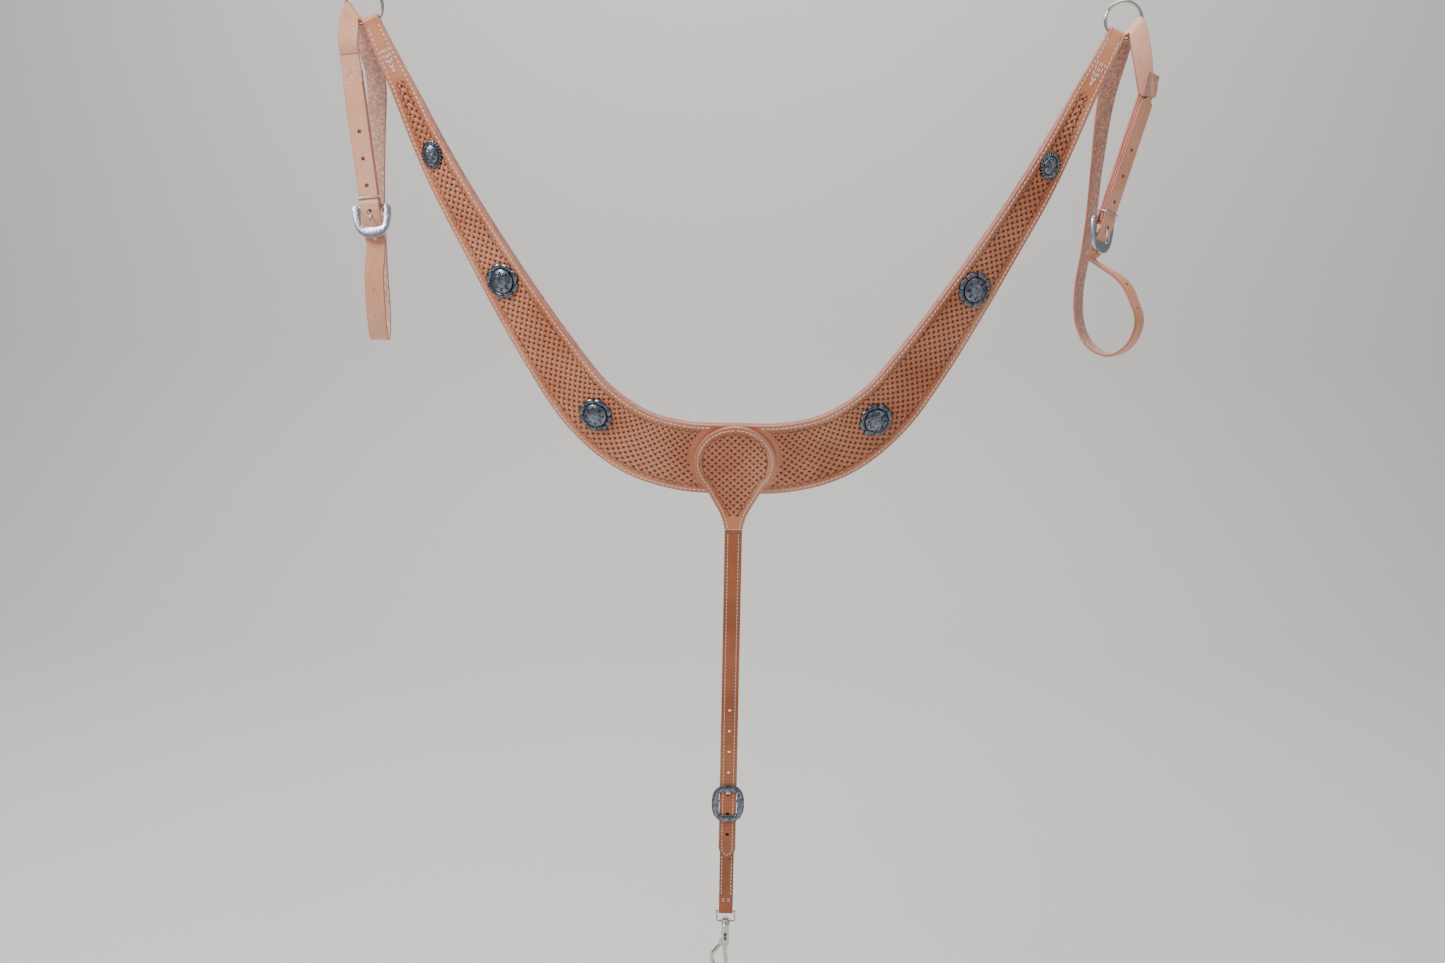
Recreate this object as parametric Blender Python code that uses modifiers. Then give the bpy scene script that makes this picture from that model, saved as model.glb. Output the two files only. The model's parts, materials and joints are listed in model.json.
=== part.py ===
"""A western breast collar for riding tack, hanging from its two rings as on a pair of hooks.

The tooled collar folds round a ring at each end. A round-headed drop strap is stitched to its
middle and carries a centre-bar buckle, a folded snap strap and a swivel bolt snap. An adjustable
tug strap with a horseshoe buckle hangs in each ring.

Axes: +X to the wearer's left as seen from the front, +Z up, the tooled side faces -Y. The origin
is midway between the hooks, at the height where the rings rest on them. Metres throughout.
"""

import math
from dataclasses import dataclass

import bmesh
import bpy
from mathutils import Matrix, Vector

# ---------------------------------------------------------------- driving dimensions

GAP = 0.0003  # clearance between neighbouring pieces

RING_INNER_RADIUS = 0.0170
RING_WIRE_RADIUS = 0.0016
RING_RUN = 0.0008  # play of a tug strap on the ring

COLLAR_HALF_SPAN = 0.3772  # centre to the fold round a ring
COLLAR_RISE = 0.4400  # lowest point of the centre line up to that fold
COLLAR_CENTRE_WIDTH = 0.0786
COLLAR_END_WIDTH = 0.0180
FACE_THICKNESS = 0.0036
LINING_THICKNESS = 0.0032
RETURN_LENGTH = 0.0600  # the face leather's turned-back end, behind the lining
LINING_SETBACK = 0.0065  # the lining stops this far below the fold
COLLAR_DISH = math.radians(22.0)  # the inner edge leans forward by this, as on a horse's chest
DISH_FADE = (0.855, 0.931)  # shares of the half span between which the arms turn flat

# Centre line of one arm: share of the half span, share of the rise, share of the width taper.
ARM_SHAPE = (
    (0.000, 0.0000, 1.000),
    (0.150, 0.0045, 0.985),
    (0.289, 0.0405, 0.920),
    (0.414, 0.1227, 0.800),
    (0.518, 0.2414, 0.683),
    (0.616, 0.3723, 0.554),
    (0.714, 0.5139, 0.419),
    (0.813, 0.6655, 0.307),
    (0.916, 0.8500, 0.119),
    (1.000, 1.0000, 0.000),
)

CONCHO_LARGE_RADIUS = 0.0190
CONCHO_SMALL_RADII = (0.0120, 0.0144)
CONCHO_LARGE_HEIGHT = 0.0062
CONCHO_SMALL_HEIGHT = 0.0050
CONCHO_POST_RADIUS = 0.0026
CONCHO_SCREW_RADIUS = 0.0012
CONCHO_SCREW_HEAD_RADIUS = 0.0046
CONCHO_SCREW_HEAD_HEIGHT = 0.0012
CONCHO_PLACES = {"upper": 0.835, "middle": 0.648, "lower": 0.392}  # share of the half span

TUG_WIDTH = 0.0200
TUG_THICKNESS = 0.0026
TUG_TURNBACK = 0.1360  # stitched end behind the front run, up from the hinge bar
TUG_BILLET = 0.1300  # billet tip above the hinge bar
TUG_HOLE_RADIUS = 0.0021
TUG_HOLE_PITCH = 0.0270
TUG_HOLES_ABOVE = 3
TUG_HOLES_BELOW = 4
TUG_BUCKLE_RADIUS = 0.0204
TUG_BUCKLE_THICKNESS = 0.0028
TUG_BUCKLE_TILT = math.radians(15.0)
TUG_BAR_RADIUS = 0.0016
TUG_TONGUE_RADIUS = 0.0010
TUG_TONGUE_HOLE_RADIUS = 0.0029
KEEPER_WIRE_RADIUS = 0.0009
KEEPER_HEIGHT = 0.0095  # above the hinge bar, resting on the buckle
KEEPER_PLAY = 0.0005

DROP_WIDTH = 0.0190
DROP_HEAD_RADIUS = 0.0435
DROP_FACE_THICKNESS = 0.0018
DROP_LINING_THICKNESS = 0.0016
DROP_LENGTH = 0.3585  # collar's lower edge to the buckle's centre bar
DROP_NECK = 0.0420  # collar's lower edge to where the strap bends
DROP_TIP = 0.0660  # billet tip below the centre bar
DROP_HOLE_RADIUS = 0.0019
DROP_HOLE_PITCH = 0.0245
DROP_HOLES_ABOVE = 4
DROP_HOLES_BELOW = 2
DROP_BUCKLE_HALF = (0.0183, 0.0220)
DROP_WINDOW_HALF = (0.0103, 0.0142)
DROP_BUCKLE_THICKNESS = 0.0024
DROP_BAR_RADIUS = 0.0013
DROP_TONGUE_RADIUS = 0.0009
DROP_TONGUE_HOLE_RADIUS = 0.0025

SNAP_STRAP_WIDTH = 0.0160
SNAP_STRAP_THICKNESS = 0.0018
SNAP_STRAP_LENGTH = 0.1336  # centre bar to the snap's eye
EYE_WIRE_RADIUS = 0.0013
EYE_HALF_WIDTH = 0.0102
EYE_CORNER = 0.0016
EYE_HEIGHT = 0.0125
EYE_BOSS_RADIUS = 0.0048
EYE_BOSS_HALF_HEIGHT = 0.0022
STEM_RADIUS = 0.0017
STEM_HEAD_RADIUS = 0.0030
BARREL_RADIUS = 0.0046
BARREL_BORE_RADIUS = 0.0029
BARREL_LENGTH = 0.0270
HOOK_WIRE_RADIUS = 0.0023
BOLT_RADIUS = 0.0025
BOLT_TRAVEL = 0.0080
SPRING_WIRE_RADIUS = 0.00028
SPRING_TURNS = 6
STUD_RADIUS = 0.0012
STUD_HEAD_RADIUS = 0.0026

# ---------------------------------------------------------------- sizes that follow

SLOT_HALF = max(LINING_THICKNESS / 2, RING_WIRE_RADIUS) + GAP
FACE_MIDDLE = SLOT_HALF + FACE_THICKNESS / 2
FACE_FRONT = SLOT_HALF + FACE_THICKNESS
FOLD_TOP = math.sqrt(RING_INNER_RADIUS**2 - (COLLAR_END_WIDTH / 2) ** 2) - GAP
FOLD_FROM_RING = FOLD_TOP + SLOT_HALF  # ring centre to the centre of the collar's fold
RING_RADIUS = RING_INNER_RADIUS + RING_WIRE_RADIUS
DROP_LAYERS = DROP_FACE_THICKNESS + GAP + DROP_LINING_THICKNESS
HEAD_OFFSET = FACE_FRONT + GAP + DROP_LAYERS / 2  # collar's middle to the drop head's middle
DISHED_HALF = COLLAR_CENTRE_WIDTH / 2 / math.cos(COLLAR_DISH)
NECK_BEND_RADIUS = 0.8 * DROP_NECK / math.sin(COLLAR_DISH)
EDGE_BACK = DISHED_HALF * math.sin(COLLAR_DISH) - HEAD_OFFSET * math.cos(COLLAR_DISH)
DROP_PLANE = EDGE_BACK + NECK_BEND_RADIUS * (1 - math.cos(COLLAR_DISH))  # y of the hanging strap
ZERO = Vector((0.0, 0.0, 0.0))
RIGHT = Vector((1.0, 0.0, 0.0))
BACK = Vector((0.0, 1.0, 0.0))
UP = Vector((0.0, 0.0, 1.0))


@dataclass(frozen=True)
class Station:
    """One cross-section of a strap: where its middle is, which way it is wide, and how wide."""

    pos: Vector
    across: Vector
    half_width: float


# ---------------------------------------------------------------- scene and materials


def clear_scene():
    for old in list(bpy.data.objects):
        bpy.data.objects.remove(old)


def collection(name):
    found = bpy.data.collections.new(name)
    bpy.context.scene.collection.children.link(found)
    return found


def material(name, colour, roughness, metallic=0.0):
    mat = bpy.data.materials.new(name)
    mat.use_nodes = True
    shader = mat.node_tree.nodes["Principled BSDF"]
    shader.inputs["Base Color"].default_value = (*colour, 1.0)
    shader.inputs["Roughness"].default_value = roughness
    shader.inputs["Metallic"].default_value = metallic
    return mat


clear_scene()
PARTS = collection("breast_collar")
CUTTERS = collection("cutters")
LEATHER_TOOLED = ("tooled_leather", (0.56, 0.25, 0.12), 0.55, 0.0)
LEATHER_LINING = ("lining_leather", (0.62, 0.34, 0.20), 0.75, 0.0)
LEATHER_TUG = ("tug_leather", (0.74, 0.46, 0.32), 0.55, 0.0)
SILVER_DARK = ("antiqued_silver", (0.16, 0.17, 0.20), 0.35, 1.0)
SILVER_BRIGHT = ("bright_silver", (0.72, 0.73, 0.76), 0.25, 1.0)
NICKEL = ("nickel", (0.66, 0.67, 0.68), 0.18, 1.0)


# ---------------------------------------------------------------- modelling helpers


def smooth_line(points, per_span):
    """Catmull-Rom curve through points given as tuples of any length; both ends are kept."""
    points = [tuple(point) for point in points]
    first = tuple(2 * a - b for a, b in zip(points[0], points[1]))
    last = tuple(2 * a - b for a, b in zip(points[-1], points[-2]))
    padded = [first, *points, last]
    line = []
    for p0, p1, p2, p3 in zip(padded, padded[1:], padded[2:], padded[3:]):
        for step in range(per_span):
            t = step / per_span
            weights = (
                (-t + 2 * t**2 - t**3) / 2,
                (2 - 5 * t**2 + 3 * t**3) / 2,
                (t + 4 * t**2 - 3 * t**3) / 2,
                (-(t**2) + t**3) / 2,
            )
            corners = zip(p0, p1, p2, p3)
            line.append(tuple(sum(w * c for w, c in zip(weights, corner)) for corner in corners))
    line.append(points[-1])
    return line


def tangents(stations):
    """Unit direction of travel at every station."""
    count = len(stations)
    found = []
    for index in range(count):
        before = stations[max(index - 1, 0)].pos
        after = stations[min(index + 1, count - 1)].pos
        found.append((after - before).normalized())
    return found


def normals(stations):
    """Direction from the flesh side to the grain side at every station."""
    return [s.across.cross(t).normalized() for s, t in zip(stations, tangents(stations))]


def finish(obj, mat_spec, pivot):
    """Gives the piece its material and puts its origin on its pivot, whose empty carries it."""
    mesh = obj.data
    mesh.transform(obj.matrix_world)
    obj.matrix_world = Matrix.Identity(4)
    mesh.transform(Matrix.Translation(-pivot.location))
    obj.parent = pivot
    mesh.materials.clear()
    mesh.materials.append(MATERIALS[mat_spec[0]])
    mesh.shade_smooth()
    mesh.set_sharp_from_angle(angle=math.radians(35.0))
    return obj


def as_mesh(obj, name=None):
    """Replaces an object by the mesh that its modifiers or curve make, with its seams welded."""
    bpy.context.view_layer.update()
    graph = bpy.context.evaluated_depsgraph_get()
    mesh = bpy.data.meshes.new_from_object(obj.evaluated_get(graph))
    matrix = obj.matrix_world.copy()
    name = name or obj.name
    bpy.data.objects.remove(obj)
    work = bmesh.new()
    work.from_mesh(mesh)
    bmesh.ops.remove_doubles(work, verts=work.verts, dist=1e-6)
    bmesh.ops.recalc_face_normals(work, faces=work.faces)
    work.to_mesh(mesh)
    work.free()
    made = bpy.data.objects.new(name, mesh)
    made.matrix_world = matrix
    PARTS.objects.link(made)
    return made


def from_bmesh(name, work):
    bmesh.ops.recalc_face_normals(work, faces=work.faces)
    mesh = bpy.data.meshes.new(name)
    work.to_mesh(mesh)
    work.free()
    made = bpy.data.objects.new(name, mesh)
    PARTS.objects.link(made)
    return made


def band(name, stations, low, high):
    """A strap lofted through its stations; low and high are its flesh and grain offsets.

    Either offset may be one number or a list with one number for each station.
    """
    lows = low if isinstance(low, list) else [low] * len(stations)
    highs = high if isinstance(high, list) else [high] * len(stations)
    work = bmesh.new()
    sections = []
    for station, normal, bottom, top in zip(stations, normals(stations), lows, highs):
        side = station.across.normalized() * station.half_width
        corners = (side + normal * top, -side + normal * top)
        corners += (-side + normal * bottom, side + normal * bottom)
        sections.append([work.verts.new(station.pos + corner) for corner in corners])
    for one, two in zip(sections, sections[1:]):
        for index in range(4):
            follow = (index + 1) % 4
            # both sides of a twisted strap are split along the same diagonal
            if index < 2:
                work.faces.new((one[index], one[follow], two[follow]))
                work.faces.new((one[index], two[follow], two[index]))
            else:
                work.faces.new((one[index], one[follow], two[index]))
                work.faces.new((one[follow], two[follow], two[index]))
    work.faces.new(sections[0][::-1])
    work.faces.new(sections[-1])
    return from_bmesh(name, work)


def wire(name, points, radius, cyclic=False, sides=2):
    """A round wire along points."""
    data = bpy.data.curves.new(name, "CURVE")
    data.dimensions = "3D"
    data.bevel_depth = radius
    data.bevel_resolution = sides
    data.use_fill_caps = not cyclic
    spline = data.splines.new("POLY")
    spline.points.add(len(points) - 1)
    for point, place in zip(spline.points, points):
        point.co = (*place, 1.0)
    spline.use_cyclic_u = cyclic
    obj = bpy.data.objects.new(name, data)
    PARTS.objects.link(obj)
    return as_mesh(obj)


def turned(name, profile, steps=24):
    """A shape turned about local Z from (radius, height) points."""
    mesh = bpy.data.meshes.new(name)
    edges = [(index, index + 1) for index in range(len(profile) - 1)]
    mesh.from_pydata([(radius, 0.0, height) for radius, height in profile], edges, [])
    obj = bpy.data.objects.new(name, mesh)
    PARTS.objects.link(obj)
    screw = obj.modifiers.new("turn", "SCREW")
    screw.steps = steps
    screw.render_steps = steps
    screw.use_merge_vertices = True
    screw.merge_threshold = 1e-6
    return as_mesh(obj)


def cylinder(name, centre, axis, radius, length, steps=16):
    bpy.ops.mesh.primitive_cylinder_add(vertices=steps, radius=radius, depth=length)
    obj = bpy.context.object
    obj.name = name
    turn = UP.rotation_difference(axis).to_matrix().to_4x4()
    obj.matrix_world = Matrix.Translation(centre) @ turn
    return obj


def box(name, centre, axes, sizes):
    """A box with its own three axes, given as unit vectors."""
    bpy.ops.mesh.primitive_cube_add(size=1.0)
    obj = bpy.context.object
    obj.name = name
    turn = Matrix([tuple(axis) for axis in axes]).transposed().to_4x4()
    obj.matrix_world = Matrix.Translation(centre) @ turn @ Matrix.Diagonal((*sizes, 1.0))
    return obj


def combine(target, tool, operation):
    """Applies one Boolean and removes its tool."""
    for owner in list(tool.users_collection):
        owner.objects.unlink(tool)
    CUTTERS.objects.link(tool)
    tool.hide_render = True
    tool.display_type = "WIRE"
    step = target.modifiers.new(operation.lower(), "BOOLEAN")
    step.operation = operation
    step.object = tool
    name = target.name
    made = as_mesh(target, name)
    made.name = name
    bpy.data.objects.remove(tool)
    return made


def pivot(name, place):
    """The empty that a moving body turns or slides with."""
    obj = bpy.data.objects.new("pivot_" + name, None)
    obj.location = place
    obj.empty_display_size = 0.01
    PARTS.objects.link(obj)
    return obj


def arc(centre, first, second, radius, start, end, count):
    """Points on an arc in the plane of two unit vectors, angles in degrees."""
    points = []
    for index in range(count + 1):
        angle = math.radians(start + (end - start) * index / count)
        points.append(centre + (first * math.cos(angle) + second * math.sin(angle)) * radius)
    return points


# ---------------------------------------------------------------- collar


def arm_end():
    """Unit direction of the arm at its end, for the arm on +X, in the XZ plane."""
    before, last = ARM_SHAPE[-2:]
    run = (last[0] - before[0]) * COLLAR_HALF_SPAN
    rise = (last[1] - before[1]) * COLLAR_RISE
    return Vector((run, 0.0, rise)).normalized()


ARM_END = arm_end()
FOLD_CENTRE = Vector((COLLAR_HALF_SPAN, 0.0, -RING_INNER_RADIUS - FOLD_FROM_RING * ARM_END.z))
RING_CENTRE = FOLD_CENTRE + ARM_END * FOLD_FROM_RING
COLLAR_LOW = FOLD_CENTRE.z - COLLAR_RISE  # z of the centre line's lowest point
COLLAR_BOTTOM = COLLAR_LOW - COLLAR_CENTRE_WIDTH / 2


def mirrored(vector, side):
    return Vector((vector.x * side, vector.y, vector.z))


@dataclass(frozen=True)
class Frame:
    """A place on the collar's middle surface, towards its inner edge and out of its front."""

    pos: Vector
    inward: Vector
    front: Vector
    half_width: float


def dish_at(x):
    """How far the collar leans at a distance from its middle, in radians."""
    share = abs(x) / COLLAR_HALF_SPAN
    part = min(1.0, max(0.0, (DISH_FADE[1] - share) / (DISH_FADE[1] - DISH_FADE[0])))
    return COLLAR_DISH * part * part * (3 - 2 * part)


def collar_frames(trim):
    """Frames of the collar from the -X end to the +X end, trimmed below both folds."""
    half = []
    for run, rise, taper in ARM_SHAPE:
        width = COLLAR_END_WIDTH + (COLLAR_CENTRE_WIDTH - COLLAR_END_WIDTH) * taper
        half.append((run * COLLAR_HALF_SPAN, COLLAR_LOW + rise * COLLAR_RISE, width / 2))
    last = FOLD_CENTRE - ARM_END * trim
    half[-1] = (last.x, last.z, half[-1][2])
    left = [(-x, z, width) for x, z, width in half[:0:-1]]
    line = smooth_line(left + half, 5)
    frames = []
    for index, (x, z, half_width) in enumerate(line):
        before = line[max(index - 1, 0)]
        after = line[min(index + 1, len(line) - 1)]
        ahead = Vector((after[0] - before[0], 0.0, after[1] - before[1])).normalized()
        flat = Vector((-ahead.z, 0.0, ahead.x))
        dish = dish_at(x)
        inward = flat * math.cos(dish) - BACK * math.sin(dish)
        front = -BACK * math.cos(dish) - flat * math.sin(dish)
        frames.append(Frame(Vector((x, 0.0, z)), inward, front, half_width / math.cos(dish)))
    return frames


def collar_frame_at(share, side):
    """Frame of the collar at a share of the half span, on one side."""
    line = collar_frames(0.0)
    wanted = share * COLLAR_HALF_SPAN * side
    for one, two in zip(line, line[1:]):
        if one.pos.x <= wanted <= two.pos.x:
            part = (wanted - one.pos.x) / (two.pos.x - one.pos.x)
            inward = one.inward.lerp(two.inward, part).normalized()
            front = one.front.lerp(two.front, part)
            front = (front - inward * front.dot(inward)).normalized()
            return Frame(one.pos.lerp(two.pos, part), inward, front, one.half_width)
    return line[-1]


def end_fold(side):
    """Stations of the face leather round one ring and back behind the lining."""
    ahead = mirrored(ARM_END, side)
    centre = mirrored(FOLD_CENTRE, side)
    across = Vector((-ahead.z, 0.0, ahead.x)) * side
    half = COLLAR_END_WIDTH / 2
    turn = arc(centre, -BACK, ahead, FACE_MIDDLE, 0.0, 180.0, 10)
    stations = [Station(point, across, half) for point in turn]
    for length in (0.02, RETURN_LENGTH / 2, RETURN_LENGTH):
        back = centre + BACK * FACE_MIDDLE - ahead * length
        stations.append(Station(back, across, half + 0.02 * length))
    return stations


def build_collar(body):
    middle = collar_frames(0.0)[1:-1]
    front = [Station(f.pos + f.front * FACE_MIDDLE, -f.inward, f.half_width) for f in middle]
    left, right = end_fold(-1)[::-1], end_fold(1)
    stations = [Station(s.pos, -s.across, s.half_width) for s in left] + front
    stations += [Station(s.pos, -s.across, s.half_width) for s in right]
    half = FACE_THICKNESS / 2
    face = band("collar_face", stations, -half, half)
    half = LINING_THICKNESS / 2
    backing = [Station(f.pos, -f.inward, f.half_width) for f in collar_frames(LINING_SETBACK)]
    lining = band("collar_lining", backing, -half, half)
    for side in (-1, 1):
        for share in CONCHO_PLACES.values():
            at = collar_frame_at(share, side)
            radius = CONCHO_POST_RADIUS + GAP
            depth = 1.5 * FACE_FRONT
            for_face = cylinder("bore", at.pos + at.front * depth / 2, at.front, radius, depth)
            face = combine(face, for_face, "DIFFERENCE")
            for_lining = cylinder("bore", at.pos, at.front, radius, 2 * LINING_THICKNESS)
            lining = combine(lining, for_lining, "DIFFERENCE")
    finish(face, LEATHER_TOOLED, body)
    finish(lining, LEATHER_LINING, body)


def concho_profile(rim, height, post_end):
    """Domed button with a raised brim, a flat back and a threaded post."""
    return [
        (0.0, height),
        (rim * 0.30, height * 0.95),
        (rim * 0.52, height * 0.78),
        (rim * 0.68, height * 0.46),
        (rim * 0.74, height * 0.28),
        (rim * 0.86, height * 0.33),
        (rim * 0.95, height * 0.26),
        (rim, height * 0.10),
        (rim * 0.985, 0.0),
        (CONCHO_POST_RADIUS, 0.0),
        (CONCHO_POST_RADIUS, -post_end),
        (CONCHO_SCREW_RADIUS + GAP, -post_end),
        (CONCHO_SCREW_RADIUS + GAP, -2 * GAP),
        (0.0, -2 * GAP),
    ]


def facing(place, front):
    """Placement that turns a shape made about local Z to look out of a surface."""
    level = UP.cross(front).normalized()
    turn = Matrix((level, front.cross(level), front)).transposed().to_4x4()
    return Matrix.Translation(place) @ turn


def build_concho(name, at, radii, height, lobes, body):
    """One concho seated on the collar's front, and the screw that holds it from behind."""
    seat = FACE_FRONT + GAP
    post = FACE_THICKNESS + 2 * GAP + LINING_THICKNESS / 2
    button = turned("concho_" + name, concho_profile(radii[0], height, post), 48)
    lobe_depth = 0.055
    for vertex in button.data.vertices:
        radius = math.hypot(vertex.co.x, vertex.co.y)
        outer = max(0.0, radius / radii[0] - 0.70) / 0.30
        angle = math.atan2(vertex.co.y, vertex.co.x)
        scallop = 1.0 - lobe_depth * outer * (1.0 - abs(math.sin(lobes * angle / 2)))
        share = min(1.0, max(0.0, radius / radii[0] - 0.25) / 0.5)
        vertex.co.x *= scallop
        vertex.co.y *= scallop * (1.0 + (radii[1] / radii[0] - 1.0) * share)
    button.matrix_world = facing(at.pos + at.front * seat, at.front)
    finish(button, SILVER_DARK, body)
    back = LINING_THICKNESS / 2 + GAP
    head = CONCHO_SCREW_HEAD_RADIUS
    profile = [
        (0.0, -CONCHO_SCREW_HEAD_HEIGHT),
        (head * 0.85, -CONCHO_SCREW_HEAD_HEIGHT),
        (head, -CONCHO_SCREW_HEAD_HEIGHT * 0.5),
        (head, 0.0),
        (CONCHO_SCREW_RADIUS, 0.0),
        (CONCHO_SCREW_RADIUS, back + FACE_MIDDLE),
        (0.0, back + FACE_MIDDLE),
    ]
    screw = turned("concho_screw_" + name, profile, 16)
    screw.matrix_world = facing(at.pos - at.front * back, at.front)
    slot_place = at.pos - at.front * (back + CONCHO_SCREW_HEAD_HEIGHT)
    level = UP.cross(at.front).normalized()
    axes = (level, at.front, level.cross(at.front))
    slot = box("slot", slot_place, axes, (head * 1.5, 0.0010, 0.0010))
    screw = combine(screw, slot, "DIFFERENCE")
    finish(screw, NICKEL, body)


def build_conchos(body):
    large = (CONCHO_LARGE_RADIUS, CONCHO_LARGE_RADIUS)
    for side, label in ((-1, "left"), (1, "right")):
        for level, share in CONCHO_PLACES.items():
            at = collar_frame_at(share, side)
            if level == "upper":
                name = f"{label}_{level}"
                build_concho(name, at, CONCHO_SMALL_RADII, CONCHO_SMALL_HEIGHT, 24, body)
            else:
                build_concho(f"{label}_{level}", at, large, CONCHO_LARGE_HEIGHT, 8, body)


# ---------------------------------------------------------------- rings


def build_ring(label, side, body):
    points = arc(mirrored(RING_CENTRE, side), RIGHT, UP, RING_RADIUS, 0.0, 360.0, 48)[:-1]
    ring = wire("ring_" + label, points, RING_WIRE_RADIUS, cyclic=True)
    finish(ring, NICKEL, body)


# ---------------------------------------------------------------- tug straps


@dataclass(frozen=True)
class Tug:
    """One tug strap: how its buckled stack leans and faces, and the free route of the strap.

    bar is the hinge bar's centre seen from the ring's centre. The routes are hand-chosen points
    (x, y, z, facing) from the ring's centre; facing turns the strap about the vertical, degrees.
    """

    label: str
    side: int
    bar: Vector
    lean: Vector
    facing: float
    up_route: tuple
    down_route: tuple


TUGS = (
    Tug(
        "left",
        -1,
        Vector((0.0035, -0.0070, -0.1990)),
        Vector((-0.115, 0.0, 1.0)).normalized(),
        0.0,
        ((-0.0140, -0.0115, -0.0340, 0.0),),
        (
            (-0.0010, 0.0160, -0.0400, 0.0),
            (0.0040, 0.0255, -0.0740, 0.0),
            (0.0008, 0.0295, -0.1250, 0.0),
            (-0.0012, 0.0290, -0.1850, 0.0),
            (-0.0002, 0.0280, -0.2500, 0.0),
            (0.0028, 0.0250, -0.3020, 0.0),
            (0.0046, 0.0160, -0.3310, 0.0),
            (0.0053, 0.0040, -0.3330, 0.0),
            (0.0058, -0.0065, -0.3080, 0.0),
            (0.0056, -0.0100, -0.2700, 0.0),
        ),
    ),
    Tug(
        "right",
        1,
        Vector((-0.0095, -0.0085, -0.2000)),
        Vector((0.270, 0.0, 1.0)).normalized(),
        40.0,
        ((0.0180, -0.0130, -0.0400, 4.0), (0.0250, -0.0135, -0.0750, 26.0)),
        (
            (0.0000, 0.0180, -0.0400, 0.0),
            (-0.0050, 0.0300, -0.0800, 20.0),
            (-0.0090, 0.0310, -0.1400, 40.0),
            (-0.0110, 0.0320, -0.1900, 46.0),
            (-0.0140, 0.0340, -0.2300, 49.0),
            (-0.0180, 0.0370, -0.2700, 50.0),
            (-0.0160, 0.0340, -0.3050, 50.0),
            (-0.0060, 0.0220, -0.3290, 50.0),
            (0.0110, 0.0020, -0.3380, 50.0),
            (0.0250, -0.0160, -0.3250, 50.0),
            (0.0300, -0.0240, -0.3020, 50.0),
            (0.0240, -0.0220, -0.2810, 49.0),
            (0.0120, -0.0150, -0.2590, 46.0),
        ),
    ),
)

TUG_HALF = TUG_THICKNESS / 2
BAR_TO_STRAP = TUG_BAR_RADIUS + GAP + TUG_HALF
PLY_OFFSET = TUG_HALF + GAP / 2
BILLET_OFFSET = PLY_OFFSET + TUG_THICKNESS + GAP
BILLET_AT_BAR = BAR_TO_STRAP + TUG_THICKNESS + GAP
STACK_TOP = TUG_TURNBACK + 0.012


def tug_axes(tug):
    """Up along the stack, across it, and out of its front."""
    angle = math.radians(tug.facing)
    flat = Vector((math.cos(angle), math.sin(angle), 0.0))
    across = (flat - tug.lean * flat.dot(tug.lean)).normalized()
    return tug.lean, across, across.cross(tug.lean)


def tug_bar(tug):
    return mirrored(RING_CENTRE, tug.side) + tug.bar


def stack_point(tug, height, out):
    """Point above the hinge bar along the stack and out of its front."""
    up, _, front = tug_axes(tug)
    return tug_bar(tug) + up * height + front * out


def arch_angle():
    """Angle down from the ring's centre at which a tug strap clears the collar's fold."""
    fold_corner = math.atan2(COLLAR_END_WIDTH / 2, FOLD_TOP - FACE_THICKNESS)
    strap_chord = math.sqrt(RING_INNER_RADIUS**2 - (TUG_WIDTH / 2) ** 2) - RING_RUN
    strap_corner = math.atan2(TUG_WIDTH / 2, strap_chord - TUG_THICKNESS)
    fold_angle = math.atan2(ARM_END.x, ARM_END.z)
    return strap_corner + fold_corner + math.radians(2.0) - fold_angle


ARCH_ANGLE = arch_angle()
ARCH_RADIUS = math.sqrt(RING_INNER_RADIUS**2 - (TUG_WIDTH / 2) ** 2) - RING_RUN - TUG_HALF


def arch_place(tug):
    """Middle of the strap where it crosses the ring, and the strap's width direction there."""
    away = Vector((tug.side * math.sin(ARCH_ANGLE), 0.0, -math.cos(ARCH_ANGLE)))
    across = Vector((math.cos(ARCH_ANGLE), 0.0, tug.side * math.sin(ARCH_ANGLE)))
    return mirrored(RING_CENTRE, tug.side) + away * ARCH_RADIUS, across


def free_route(tug):
    """Strap from the top of the stack over the ring, down the back and round the bottom loop."""
    up, across, _ = tug_axes(tug)
    centre = mirrored(RING_CENTRE, tug.side)
    over, over_across = arch_place(tug)

    def knot(point, width_direction):
        return (*point, *width_direction)

    def routed(x, y, z, facing):
        angle = math.radians(facing)
        return knot(centre + Vector((x, y, z)), (math.cos(angle), math.sin(angle), 0.0))

    knots = [knot(stack_point(tug, STACK_TOP - 0.02, PLY_OFFSET), across)]
    knots.append(knot(stack_point(tug, STACK_TOP, PLY_OFFSET), across))
    knots += [routed(*point) for point in reversed(tug.up_route)]
    blend = over_across.lerp(RIGHT, 0.35)
    knots.append(knot(over + Vector((tug.side * 0.0016, -0.0080, -0.0030)), blend))
    knots.append(knot(over, over_across))
    knots.append(knot(over + Vector((-tug.side * 0.0016, 0.0080, -0.0030)), blend))
    knots += [routed(*point) for point in tug.down_route]
    for height, out in ((-0.0400, 0.0018), (-0.0320, 0.0022)):
        knots.append(knot(stack_point(tug, height, out), across))
    line = smooth_line(knots, 4)[4:]
    half = TUG_WIDTH / 2
    return [Station(Vector(k[:3]), Vector(k[3:]).normalized(), half) for k in line]


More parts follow.
